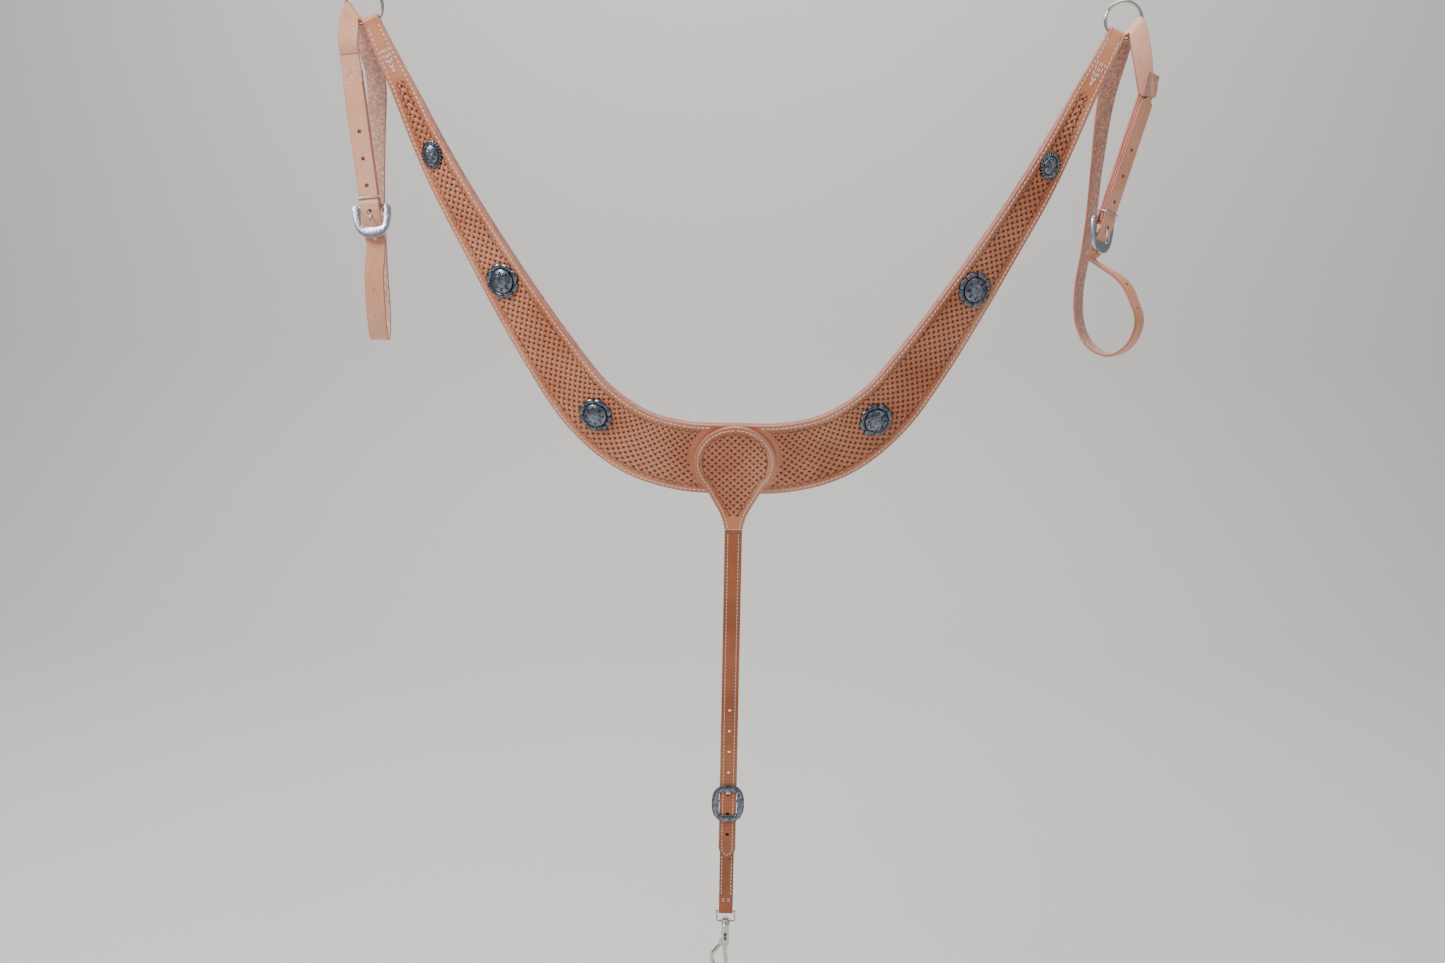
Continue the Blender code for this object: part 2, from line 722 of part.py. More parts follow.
def tug_stations(tug):
    up, across, front = tug_axes(tug)
    half = TUG_WIDTH / 2

    def flat(height, out, share=1.0):
        return Station(stack_point(tug, height, out), across, half * share)

    stations = [flat(height, -PLY_OFFSET) for height in (TUG_TURNBACK, 0.07, 0.016, 0.0085)]
    turn = arc(tug_bar(tug), -front, -up, BAR_TO_STRAP, -14.0, 194.0, 10)
    stations += [Station(point, across, half) for point in turn]
    stations += [flat(height, PLY_OFFSET) for height in (0.0085, 0.016, 0.07)]
    stations += free_route(tug)
    rise = ((-0.0250, 0.0023), (-0.0205, 0.0026), (-0.0160, 0.0038), (-0.0115, 0.0050))
    rise += ((-0.0070, 0.0058), (-0.0035, 0.0063), (0.0, BILLET_AT_BAR), (0.0035, 0.0060))
    stations += [flat(*point) for point in rise]
    stations += [flat(height, BILLET_OFFSET) for height in (0.0085, 0.012, 0.02, 0.07)]
    shoulder = TUG_BILLET - 0.0100
    stations += [flat(shoulder, BILLET_OFFSET), flat(shoulder + 0.0040, BILLET_OFFSET, 0.78)]
    stations += [flat(TUG_BILLET - 0.0020, BILLET_OFFSET, 0.36), flat(TUG_BILLET, BILLET_OFFSET, 0.12)]
    return stations


def at_distance(stations, distance):
    """Place and direction on a strap, measured back from its last station."""
    directions = normals(stations)
    for index in range(len(stations) - 1, 0, -1):
        one, two = stations[index], stations[index - 1]
        length = (two.pos - one.pos).length
        if distance <= length:
            share = distance / length
            normal = directions[index].lerp(directions[index - 1], share)
            return one.pos.lerp(two.pos, share), normal.normalized()
        distance -= length
    return stations[0].pos, directions[0]


def punch(strap, stations, distance, radius, thickness):
    place, normal = at_distance(stations, distance)
    tool = cylinder("punch", place, normal, radius, thickness + 1.2 * GAP, 12)
    return combine(strap, tool, "DIFFERENCE")


def build_tug_strap(tug, body):
    _, across, _ = tug_axes(tug)
    stations = tug_stations(tug)
    strap = band("tug_strap_" + tug.label, stations, -TUG_HALF, TUG_HALF)
    to_tongue = TUG_BILLET + 0.0068
    strap = punch(strap, stations, to_tongue, TUG_TONGUE_HOLE_RADIUS, TUG_THICKNESS + GAP)
    for index in range(-TUG_HOLES_ABOVE, TUG_HOLES_BELOW + 1):
        if index != 0:
            distance = to_tongue + index * TUG_HOLE_PITCH
            strap = punch(strap, stations, distance, TUG_HOLE_RADIUS, TUG_THICKNESS)
    slot_width = 2 * (TUG_TONGUE_RADIUS + 2 * GAP)
    slot_radius = BAR_TO_STRAP + TUG_HALF + GAP / 2
    slot = cylinder("slot", tug_bar(tug), across, slot_radius, slot_width, 32)
    strap = combine(strap, slot, "DIFFERENCE")
    finish(strap, LEATHER_TUG, body)


def build_tug_buckle(tug, body):
    """Horseshoe frame: a round plate with a window open to the hinge bar across its top."""
    up, across, front = tug_axes(tug)
    down = (-up * math.cos(TUG_BUCKLE_TILT) + front * math.sin(TUG_BUCKLE_TILT)).normalized()
    out = across.cross(-down).normalized()
    bar = tug_bar(tug)
    centre = bar + down * 0.0120
    plate = cylinder("tug_buckle_" + tug.label, centre, out, TUG_BUCKLE_RADIUS, TUG_BUCKLE_THICKNESS, 48)
    window_half = TUG_WIDTH / 2 + 0.0016
    window_end = 0.0212
    window_place = bar + down * (window_end - 0.02)
    sizes = (2 * window_half, 0.04, 0.02)
    window = box("window", window_place, (across, down, out), sizes)
    plate = combine(plate, window, "DIFFERENCE")
    top = box("top", bar - down * (0.0024 + 0.01), (across, down, out), (0.06, 0.02, 0.02))
    plate = combine(plate, top, "DIFFERENCE")
    reach = 2 * (window_half + 0.0024)
    rod = cylinder("rod", bar, across, TUG_BAR_RADIUS, reach, 16)
    plate = combine(plate, rod, "UNION")
    finish(plate, SILVER_BRIGHT, body)


def build_tug_tongue(tug, body):
    """Wire tongue: an eye round the hinge bar and a cranked tip through the billet."""
    up, _, front = tug_axes(tug)
    bar = tug_bar(tug)
    eye = TUG_BAR_RADIUS + GAP + TUG_TONGUE_RADIUS
    points = arc(bar, front, up, eye, -18.0 + 290.0, -18.0, 16)
    shaft = ((0.0036, -0.0030), (0.0049, -0.0052), (0.0066, -0.0072), (0.0084, -0.0090))
    shaft += ((0.0095, -0.0112), (0.0101, -0.0152))
    points += [bar + front * out + up * height for out, height in shaft]
    tongue = wire("tug_tongue_" + tug.label, points, TUG_TONGUE_RADIUS)
    finish(tongue, SILVER_BRIGHT, body)


def build_keeper(tug, body):
    """Flat wire loop round the three plies of the stack."""
    up, across, front = tug_axes(tug)
    play = KEEPER_WIRE_RADIUS + KEEPER_PLAY
    half = TUG_WIDTH / 2 + play
    low = -PLY_OFFSET - TUG_HALF - play
    high = BILLET_OFFSET + TUG_HALF + play
    corner = 0.0012
    centre = stack_point(tug, KEEPER_HEIGHT, 0.0)
    points = []
    for across_sign, level, start in ((1, high, 0), (-1, high, 90), (-1, low, 180), (1, low, 270)):
        inward = corner if level == low else -corner
        middle = centre + across * across_sign * (half - corner) + front * (level + inward)
        points += arc(middle, across, front, corner, start, start + 90, 3)
    keeper = wire("tug_keeper_" + tug.label, points, KEEPER_WIRE_RADIUS, cyclic=True)
    finish(keeper, NICKEL, body)


# ---------------------------------------------------------------- drop strap

NECK_Z = COLLAR_BOTTOM - DROP_NECK
BEND = Vector((0.0, DROP_PLANE, NECK_Z - GAP - DROP_LAYERS / 2))
DROP_BAR_OUT = 0.0041  # the strap's middle in front of the centre bar, above the buckle
DROP_BAR = Vector((0.0, DROP_PLANE + DROP_BAR_OUT, COLLAR_BOTTOM - DROP_LENGTH))
HEAD_TO_EDGE = 2 * DISHED_HALF - 0.0004  # length of the head that lies on the collar


def head_point(length):
    """Middle of the head's plies, a length down from its top: flat, then bending to hang."""
    inward = Vector((0.0, -math.sin(COLLAR_DISH), math.cos(COLLAR_DISH)))
    front = Vector((0.0, -math.cos(COLLAR_DISH), -math.sin(COLLAR_DISH)))
    middle = Vector((0.0, 0.0, COLLAR_LOW)) + front * HEAD_OFFSET
    if length <= HEAD_TO_EDGE:
        return middle + inward * (HEAD_TO_EDGE - DISHED_HALF - length)
    turned_by = min(COLLAR_DISH, (length - HEAD_TO_EDGE) / NECK_BEND_RADIUS)
    edge = middle - inward * DISHED_HALF
    centre = edge + front * NECK_BEND_RADIUS
    angle = COLLAR_DISH - turned_by
    place = centre + Vector((0.0, math.cos(angle), math.sin(angle))) * NECK_BEND_RADIUS
    straight = max(0.0, length - HEAD_TO_EDGE - NECK_BEND_RADIUS * COLLAR_DISH)
    return place - UP * straight


def head_stations():
    """Cross-sections of the round head from its top down to where the strap bends."""
    outline = []
    for index in range(17):
        angle = math.radians(86.0 + (-42.0 - 86.0) * index / 16)
        half = DROP_HEAD_RADIUS * math.cos(angle)
        outline.append((DROP_HEAD_RADIUS * (1 - math.sin(angle)), half))
    neck_half = DROP_WIDTH / 2
    knots = outline[-2:]
    for wide, down in ((0.0141, 0.0060), (0.0056, 0.0225), (0.0014, 0.0350)):
        knots.append((HEAD_TO_EDGE + down, neck_half + wide))
    end = head_point(1.0).z + 1.0 - NECK_Z
    knots.append((end, neck_half + 0.0006))
    outline = outline[:-2] + smooth_line(knots, 3)
    return [Station(head_point(length), -RIGHT, half) for length, half in outline]


def plate_from_outline(name, outline, back, front):
    """A flat piece from a closed outline in XZ, between two y values."""
    data = bpy.data.curves.new(name, "CURVE")
    data.dimensions = "2D"
    data.fill_mode = "BOTH"
    data.extrude = abs(back - front) / 2
    spline = data.splines.new("POLY")
    spline.points.add(len(outline) - 1)
    for point, (x, z) in zip(spline.points, outline):
        point.co = (x, z, 0.0, 1.0)
    spline.use_cyclic_u = True
    obj = bpy.data.objects.new(name, data)
    PARTS.objects.link(obj)
    turn = Matrix.Rotation(math.pi / 2, 4, "X")
    obj.matrix_world = Matrix.Translation((0.0, (back + front) / 2, 0.0)) @ turn
    return as_mesh(obj)


def build_drop_head(body):
    stations = head_stations()
    half = DROP_LAYERS / 2
    lining = band("drop_head_lining", stations, -half, DROP_LINING_THICKNESS - half)
    finish(lining, LEATHER_LINING, body)
    face = band("drop_head_face", stations, half - DROP_FACE_THICKNESS, half)
    finish(face, LEATHER_TOOLED, body)


def drop_profile():
    """Middle line of the drop strap below its bend: (height above the bar, out of the bar)."""
    start = BEND.z - DROP_BAR.z
    above = [(start, DROP_BAR_OUT), (0.20, DROP_BAR_OUT), (0.10, DROP_BAR_OUT), (0.05, DROP_BAR_OUT)]
    above += [(0.030, DROP_BAR_OUT), (0.021, DROP_BAR_OUT), (0.014, 0.0043), (0.008, 0.0050)]
    over_bar = DROP_BAR_RADIUS + GAP + SNAP_STRAP_THICKNESS + GAP + DROP_LAYERS / 2
    below = [(0.0035, over_bar), (0.0, over_bar), (-0.0035, over_bar), (-0.008, 0.0050)]
    below += [(-0.014, 0.0043), (-0.022, 0.0043), (-0.030, 0.0044), (-0.045, 0.0046)]
    return above + below


def drop_point(height, out):
    return DROP_BAR + UP * height - BACK * out


def drop_stations():
    """The strap below the bend, its round top first, then the buckled billet and its tip."""
    half = DROP_WIDTH / 2
    radius = DROP_LAYERS / 2
    stations = []
    for rise in (0.93, 0.80, 0.50):
        stations.append(Station(BEND + UP * radius * rise, -RIGHT, half))
    stations += [Station(drop_point(*point), -RIGHT, half) for point in drop_profile()]
    for back, share in ((0.012, 1.0), (0.006, 0.80), (0.002, 0.44), (0.0, 0.12)):
        stations.append(Station(drop_point(back - DROP_TIP, 0.0046), -RIGHT, half * share))
    return stations


def build_drop_strap(body):
    stations = drop_stations()
    radius = DROP_LAYERS / 2
    rounded = [radius * math.sqrt(1 - rise**2) for rise in (0.93, 0.80, 0.50)]
    outer = rounded + [radius] * (len(stations) - 3)
    step = DROP_LINING_THICKNESS - radius  # where the two plies meet, off the strap's middle
    ply_back = [max(min(step, r - 0.0003), -r) for r in outer]
    backs = [-r for r in outer]
    face = band("drop_strap_face", stations, [min(step + GAP, r - 0.0002) for r in outer], outer)
    lining = band("drop_strap_lining", stations, backs, ply_back)
    tongue_height = 0.0112
    to_tongue = DROP_TIP + tongue_height
    for index in range(-DROP_HOLES_BELOW, DROP_HOLES_ABOVE + 1):
        radius = DROP_TONGUE_HOLE_RADIUS if index == 0 else DROP_HOLE_RADIUS
        place = drop_point(tongue_height + index * DROP_HOLE_PITCH, 0.0046)
        for_face = cylinder("punch", place, BACK, radius, 4 * DROP_LAYERS, 12)
        for_lining = cylinder("punch", place, BACK, radius, 4 * DROP_LAYERS, 12)
        face = combine(face, for_face, "DIFFERENCE")
        lining = combine(lining, for_lining, "DIFFERENCE")
    finish(face, LEATHER_TOOLED, body)
    finish(lining, LEATHER_LINING, body)
    return to_tongue


def superoval(half_x, half_z, power, count):
    """Closed outline between an ellipse and a rectangle."""
    points = []
    for index in range(count):
        angle = 2 * math.pi * index / count
        c, s = math.cos(angle), math.sin(angle)
        scale = (abs(c) ** power + abs(s) ** power) ** (-1 / power)
        points.append((half_x * scale * c, half_z * scale * s))
    return points


DROP_PLATE_OUT = 0.0043 + DROP_LAYERS / 2 + GAP + DROP_BUCKLE_THICKNESS / 2


def build_drop_buckle(body):
    """Oval frame in front of the billet, with its centre bar set back behind it on two lugs."""
    outline = [(x, z + DROP_BAR.z) for x, z in superoval(*DROP_BUCKLE_HALF, 2.5, 48)]
    plate_y = DROP_BAR.y - DROP_PLATE_OUT
    half = DROP_BUCKLE_THICKNESS / 2
    plate = plate_from_outline("drop_buckle", outline, plate_y + half, plate_y - half)
    window = [(x, z + DROP_BAR.z) for x, z in superoval(*DROP_WINDOW_HALF, 8.0, 32)]
    hole = plate_from_outline("window", window, plate_y + 0.01, plate_y - 0.01)
    plate = combine(plate, hole, "DIFFERENCE")
    lug_x = DROP_WINDOW_HALF[0] + 0.0018
    lug_out = DROP_PLATE_OUT - half / 2
    for side in (-1, 1):
        middle = Vector((side * lug_x, DROP_BAR.y - (lug_out - DROP_BAR_RADIUS) / 2, DROP_BAR.z))
        sizes = (0.0030, lug_out + DROP_BAR_RADIUS, 0.0040)
        plate = combine(plate, box("lug", middle, (RIGHT, BACK, UP), sizes), "UNION")
    rod = cylinder("rod", DROP_BAR, RIGHT, DROP_BAR_RADIUS * 0.98, 2 * lug_x, 16)
    plate = combine(plate, rod, "UNION")
    finish(plate, SILVER_DARK, body)


def build_drop_tongue(body):
    eye = DROP_BAR_RADIUS + GAP + DROP_TONGUE_RADIUS
    front = -BACK
    points = arc(DROP_BAR, front, UP, eye, 40.0 - 290.0, 40.0, 16)
    rest = DROP_PLATE_OUT + DROP_BUCKLE_THICKNESS / 2 + GAP + DROP_TONGUE_RADIUS
    shaft = ((0.0014, 0.0038), (0.0008, 0.0070), (0.0016, 0.0092), (0.0040, 0.0106), (0.0066, 0.0114))
    shaft += ((rest - 0.0008, 0.0124), (rest, 0.0142), (rest, 0.0205))
    points += [DROP_BAR + front * out + UP * height for out, height in shaft]
    finish(wire("drop_tongue", points, DROP_TONGUE_RADIUS), SILVER_DARK, body)


# ---------------------------------------------------------------- snap strap and snap

EYE_TOP = DROP_BAR - UP * SNAP_STRAP_LENGTH


def build_snap_strap(body):
    """One strap folded over the centre bar and under the snap's eye, its ends meeting behind."""
    half_thick = SNAP_STRAP_THICKNESS / 2
    half = SNAP_STRAP_WIDTH / 2
    bar_turn = DROP_BAR_RADIUS + GAP + half_thick
    eye_turn = EYE_WIRE_RADIUS + GAP + half_thick
    ply = half_thick + GAP / 2
    join = DROP_BAR - UP * 0.6 * SNAP_STRAP_LENGTH + BACK * ply
    front = -BACK

    def flat(base, height, out):
        return base + UP * height + front * out

    points = [join, flat(DROP_BAR, -0.016, -ply), flat(DROP_BAR, -0.009, -ply)]
    points += arc(DROP_BAR, front, UP, bar_turn, 190.0, -10.0, 12)
    points += [flat(DROP_BAR, -0.009, ply), flat(DROP_BAR, -0.016, ply)]
    points += [flat(EYE_TOP, 0.018, ply), flat(EYE_TOP, 0.009, ply)]
    points += arc(EYE_TOP, front, UP, eye_turn, 10.0, -190.0, 12)
    points += [flat(EYE_TOP, 0.009, -ply), join - UP * 2 * GAP]
    stations = [Station(point, RIGHT, half) for point in points]
    strap = band("snap_strap", stations, -half_thick, half_thick)
    width = 2 * (DROP_TONGUE_RADIUS + 2 * GAP)
    slot = box("slot", DROP_BAR, (RIGHT, BACK, UP), (width, 0.0100, 0.0150))
    strap = combine(strap, slot, "DIFFERENCE")
    finish(strap, LEATHER_TOOLED, body)


def build_eye(body):
    """Square wire eye with the swivel's boss at its foot."""
    corner = EYE_CORNER
    low = EYE_TOP.z - EYE_HEIGHT
    points = []
    quarters = ((1, EYE_TOP.z, 0), (-1, EYE_TOP.z, 90), (-1, low, 180), (1, low, 270))
    for side, level, start in quarters:
        inward = corner if level == low else -corner
        middle = Vector((side * (EYE_HALF_WIDTH - corner), EYE_TOP.y, level + inward))
        points += arc(middle, RIGHT, UP, corner, start, start + 90, 4)
    eye = wire("snap_eye", points, EYE_WIRE_RADIUS, cyclic=True)
    boss_centre = Vector((0.0, EYE_TOP.y, low))
    boss = cylinder("boss", boss_centre, UP, EYE_BOSS_RADIUS, 2 * EYE_BOSS_HALF_HEIGHT, 24)
    eye = combine(eye, boss, "UNION")
    bore = cylinder("bore", boss_centre, UP, STEM_RADIUS + GAP, 0.02, 20)
    eye = combine(eye, bore, "DIFFERENCE")
    finish(eye, NICKEL, body)


BOSS_Z = EYE_TOP.z - EYE_HEIGHT
BARREL_TOP = BOSS_Z - EYE_BOSS_HALF_HEIGHT - 2 * GAP
BARREL_END = BARREL_TOP - BARREL_LENGTH
BORE_TOP = BARREL_TOP - 0.0030
BOLT_TOP = BORE_TOP - 0.0125
BOLT_END = BARREL_END - 0.0112


def snap_point(x, drop):
    """Point of the snap's hook, drop below the barrel's end."""
    return Vector((x, EYE_TOP.y, BARREL_END - drop))


def build_hook(body):
    """Swivel stem, barrel and hook in one casting."""
    head_low = BOSS_Z + EYE_BOSS_HALF_HEIGHT + GAP - BARREL_TOP
    profile = [
        (0.0, head_low + 0.0014),
        (STEM_HEAD_RADIUS * 0.8, head_low + 0.0014),
        (STEM_HEAD_RADIUS, head_low),
        (STEM_RADIUS, head_low),
        (STEM_RADIUS, 0.0),
        (BARREL_RADIUS * 0.8, 0.0),
        (BARREL_RADIUS, -0.0012),
        (BARREL_RADIUS, -BARREL_LENGTH),
        (0.0, -BARREL_LENGTH),
    ]
    barrel = turned("snap_hook", profile, 24)
    barrel.matrix_world = Matrix.Translation((0.0, EYE_TOP.y, BARREL_TOP))
    reach = BARREL_BORE_RADIUS + HOOK_WIRE_RADIUS * 0.62
    knots = [(-reach, -0.0060), (-reach - 0.0008, -0.0010), (-0.0086, 0.0040), (-0.0138, 0.0105)]
    knots += [(-0.0152, 0.0180), (-0.0125, 0.0250), (-0.0066, 0.0285), (-0.0008, 0.0262)]
    knots += [(0.0014, 0.0205), (0.0006, 0.0125)]
    line = smooth_line(knots, 3)
    hook = wire("hook", [snap_point(x, drop) for x, drop in line], HOOK_WIRE_RADIUS, sides=3)
    barrel = combine(barrel, hook, "UNION")
    bore_length = BORE_TOP - BARREL_END + 0.0045
    bore_centre = Vector((0.0, EYE_TOP.y, BORE_TOP - bore_length / 2))
    bore = cylinder("bore", bore_centre, UP, BARREL_BORE_RADIUS, bore_length, 20)
    barrel = combine(barrel, bore, "DIFFERENCE")
    slot_low = BOLT_TOP - 0.0080
    slot_high = BOLT_TOP - 0.0030 + BOLT_TRAVEL
    slot_place = Vector((0.0, EYE_TOP.y - BARREL_RADIUS, (slot_low + slot_high) / 2))
    sizes = (2 * (STUD_RADIUS + GAP), BARREL_RADIUS, slot_high - slot_low)
    barrel = combine(barrel, box("slot", slot_place, (RIGHT, BACK, UP), sizes), "DIFFERENCE")
    finish(barrel, NICKEL, body)


def build_bolt(body):
    """Sliding bolt that shuts the hook, and the thumb stud riveted into it."""
    length = BOLT_TOP - BOLT_END
    middle = Vector((0.0, EYE_TOP.y, (BOLT_TOP + BOLT_END) / 2))
    bolt = cylinder("snap_bolt", middle, UP, BOLT_RADIUS, length, 20)
    stud_place = Vector((0.0, EYE_TOP.y, BOLT_TOP - 0.0050))
    seat = cylinder("seat", stud_place - BACK * BOLT_RADIUS, BACK, STUD_RADIUS + GAP, BOLT_RADIUS, 12)
    bolt = combine(bolt, seat, "DIFFERENCE")
    finish(bolt, NICKEL, body)
    neck = BARREL_RADIUS + GAP
    root = BOLT_RADIUS / 2 + GAP
    profile = [
        (0.0, neck + 0.0020),
        (STUD_HEAD_RADIUS * 0.7, neck + 0.0018),
        (STUD_HEAD_RADIUS, neck + 0.0010),
        (STUD_HEAD_RADIUS, neck),
        (STUD_RADIUS, neck),
        (STUD_RADIUS, root),
        (0.0, root),
    ]
    stud = turned("snap_thumb_stud", profile, 16)
    stud.matrix_world = Matrix.Translation(stud_place) @ Matrix.Rotation(math.pi / 2, 4, "X")
    finish(stud, NICKEL, body)


def build_spring(body):
    """Coil that pushes the bolt shut."""
    radius = BARREL_BORE_RADIUS - SPRING_WIRE_RADIUS - GAP
    low = BOLT_TOP + SPRING_WIRE_RADIUS + GAP
    high = BORE_TOP - SPRING_WIRE_RADIUS - GAP
    count = SPRING_TURNS * 10
    points = []
    for index in range(count + 1):
        angle = 2 * math.pi * SPRING_TURNS * index / count
        z = low + (high - low) * index / count
        points.append(Vector((radius * math.cos(angle), EYE_TOP.y + radius * math.sin(angle), z)))
    spring = wire("snap_spring", points, SPRING_WIRE_RADIUS, sides=1)
    finish(spring, NICKEL, body)


# ---------------------------------------------------------------- assembly

ALL_FINISHES = (LEATHER_TOOLED, LEATHER_LINING, LEATHER_TUG, SILVER_DARK, SILVER_BRIGHT, NICKEL)
MATERIALS = {spec[0]: material(*spec) for spec in ALL_FINISHES}


def build_all():
    collar = pivot("collar", ZERO)
    build_collar(collar)
    build_conchos(collar)
    build_drop_head(collar)
    for tug in TUGS:
        ring = pivot("ring_" + tug.label, mirrored(RING_CENTRE, tug.side))
        build_ring(tug.label, tug.side, ring)
        strap = pivot("tug_" + tug.label, arch_place(tug)[0])
        build_tug_strap(tug, strap)
        build_tug_buckle(tug, strap)
        build_tug_tongue(tug, pivot("tug_tongue_" + tug.label, tug_bar(tug)))
        build_keeper(tug, pivot("tug_keeper_" + tug.label, stack_point(tug, KEEPER_HEIGHT, 0.0)))
    drop = pivot("drop_strap", BEND)
    build_drop_strap(drop)
    build_drop_buckle(drop)
    build_drop_tongue(pivot("drop_tongue", DROP_BAR))
    build_snap_strap(pivot("snap_strap", DROP_BAR))
    build_eye(pivot("snap_eye", EYE_TOP))
    build_hook(pivot("snap_hook", Vector((0.0, EYE_TOP.y, BOSS_Z))))
    build_spring(bpy.data.objects["pivot_snap_hook"])
    build_bolt(pivot("snap_bolt", Vector((0.0, EYE_TOP.y, BOLT_TOP))))


build_all()
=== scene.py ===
"""Looks of a western breast collar: tooled leather, stitching, engraved silver and bright nickel.

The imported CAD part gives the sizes, the bodies and the joints. Each class below builds one
sub-assembly round it: the dished collar with its basket stamping, the drop strap and its head, the
two tug straps, the conchos, the buckles and the small nickel fittings. All lengths are in metres.
"""

import json
import logging
import math
from collections.abc import Callable, Sequence
from dataclasses import dataclass, field
from enum import Enum
from typing import Any

import bpy
import numpy as np
from mathutils import Matrix, Vector
from mathutils.kdtree import KDTree

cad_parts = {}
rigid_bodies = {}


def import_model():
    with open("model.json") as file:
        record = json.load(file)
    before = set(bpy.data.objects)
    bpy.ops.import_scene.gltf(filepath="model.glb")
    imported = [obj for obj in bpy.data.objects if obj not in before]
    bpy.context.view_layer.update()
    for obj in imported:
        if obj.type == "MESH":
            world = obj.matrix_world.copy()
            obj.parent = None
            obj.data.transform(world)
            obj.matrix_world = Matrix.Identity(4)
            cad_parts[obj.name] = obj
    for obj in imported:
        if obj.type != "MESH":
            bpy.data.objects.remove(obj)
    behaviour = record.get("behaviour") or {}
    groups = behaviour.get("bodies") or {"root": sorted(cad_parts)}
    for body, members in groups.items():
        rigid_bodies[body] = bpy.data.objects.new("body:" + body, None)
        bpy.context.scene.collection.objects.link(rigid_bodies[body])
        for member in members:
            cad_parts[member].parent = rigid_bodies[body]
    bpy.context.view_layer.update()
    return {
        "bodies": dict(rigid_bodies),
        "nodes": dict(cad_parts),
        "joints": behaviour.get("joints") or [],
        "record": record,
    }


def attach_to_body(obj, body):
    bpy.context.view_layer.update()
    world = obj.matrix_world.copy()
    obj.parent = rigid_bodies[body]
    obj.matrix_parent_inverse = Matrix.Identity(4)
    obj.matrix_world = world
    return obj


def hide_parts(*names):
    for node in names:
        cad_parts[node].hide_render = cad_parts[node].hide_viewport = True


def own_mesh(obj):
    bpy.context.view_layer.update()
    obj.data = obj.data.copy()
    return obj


LOG = logging.getLogger("breast_collar")
Array = np.ndarray
UP = np.array((0.0, 0.0, 1.0))
BACK = np.array((0.0, 1.0, 0.0))
RIGHT = np.array((1.0, 0.0, 0.0))
GAP = 0.0003


class Side(Enum):
    """Which end of the collar a piece belongs to, as seen from the front."""

    LEFT = -1
    RIGHT = 1

    @property
    def label(self) -> str:
        """The word used in node names.

        Returns:
            Left or right.
        """
        return self.name.lower()


# ---------------------------------------------------------------- shader expressions


class Shade:
    """One shader socket that can be used in Python arithmetic."""

    def __init__(self, book: "ShaderBook", socket: Any) -> None:
        """Keeps the material that owns the socket.

        Args:
            book: the material's node builder.
            socket: the output socket that carries the value.
        """
        self.book = book
        self.socket = socket

    def _math(self, operation: str, first: Any, second: Any) -> "Shade":
        """Adds one Math node for two operands.

        Args:
            operation: name of the operation.
            first: first operand.
            second: second operand.

        Returns:
            The result.
        """
        return self.book.add("ShaderNodeMath", {"operation": operation}, {0: first, 1: second})

    def __add__(self, other: Any) -> "Shade":
        """Sum.

        Args:
            other: the other operand.

        Returns:
            The sum.
        """
        return self._math("ADD", self, other)

    __radd__ = __add__

    def __sub__(self, other: Any) -> "Shade":
        """Difference.

        Args:
            other: the other operand.

        Returns:
            The difference.
        """
        return self._math("SUBTRACT", self, other)

    def __rsub__(self, other: Any) -> "Shade":
        """Difference from a number.

        Args:
            other: the other operand.

        Returns:
            The difference.
        """
        return self._math("SUBTRACT", other, self)

    def __mul__(self, other: Any) -> "Shade":
        """Product.

        Args:
            other: the other operand.

        Returns:
            The product.
        """
        return self._math("MULTIPLY", self, other)

    __rmul__ = __mul__

    def ramp(self, low: float, high: float) -> "Shade":
        """Smooth step from 0 at low to 1 at high.

        Args:
            low: value that gives 0.
            high: value that gives 1.

        Returns:
            The stepped value.
        """
        settings = {"interpolation_type": "SMOOTHSTEP"}
        return self.book.add("ShaderNodeMapRange", settings, {0: self, 1: low, 2: high})


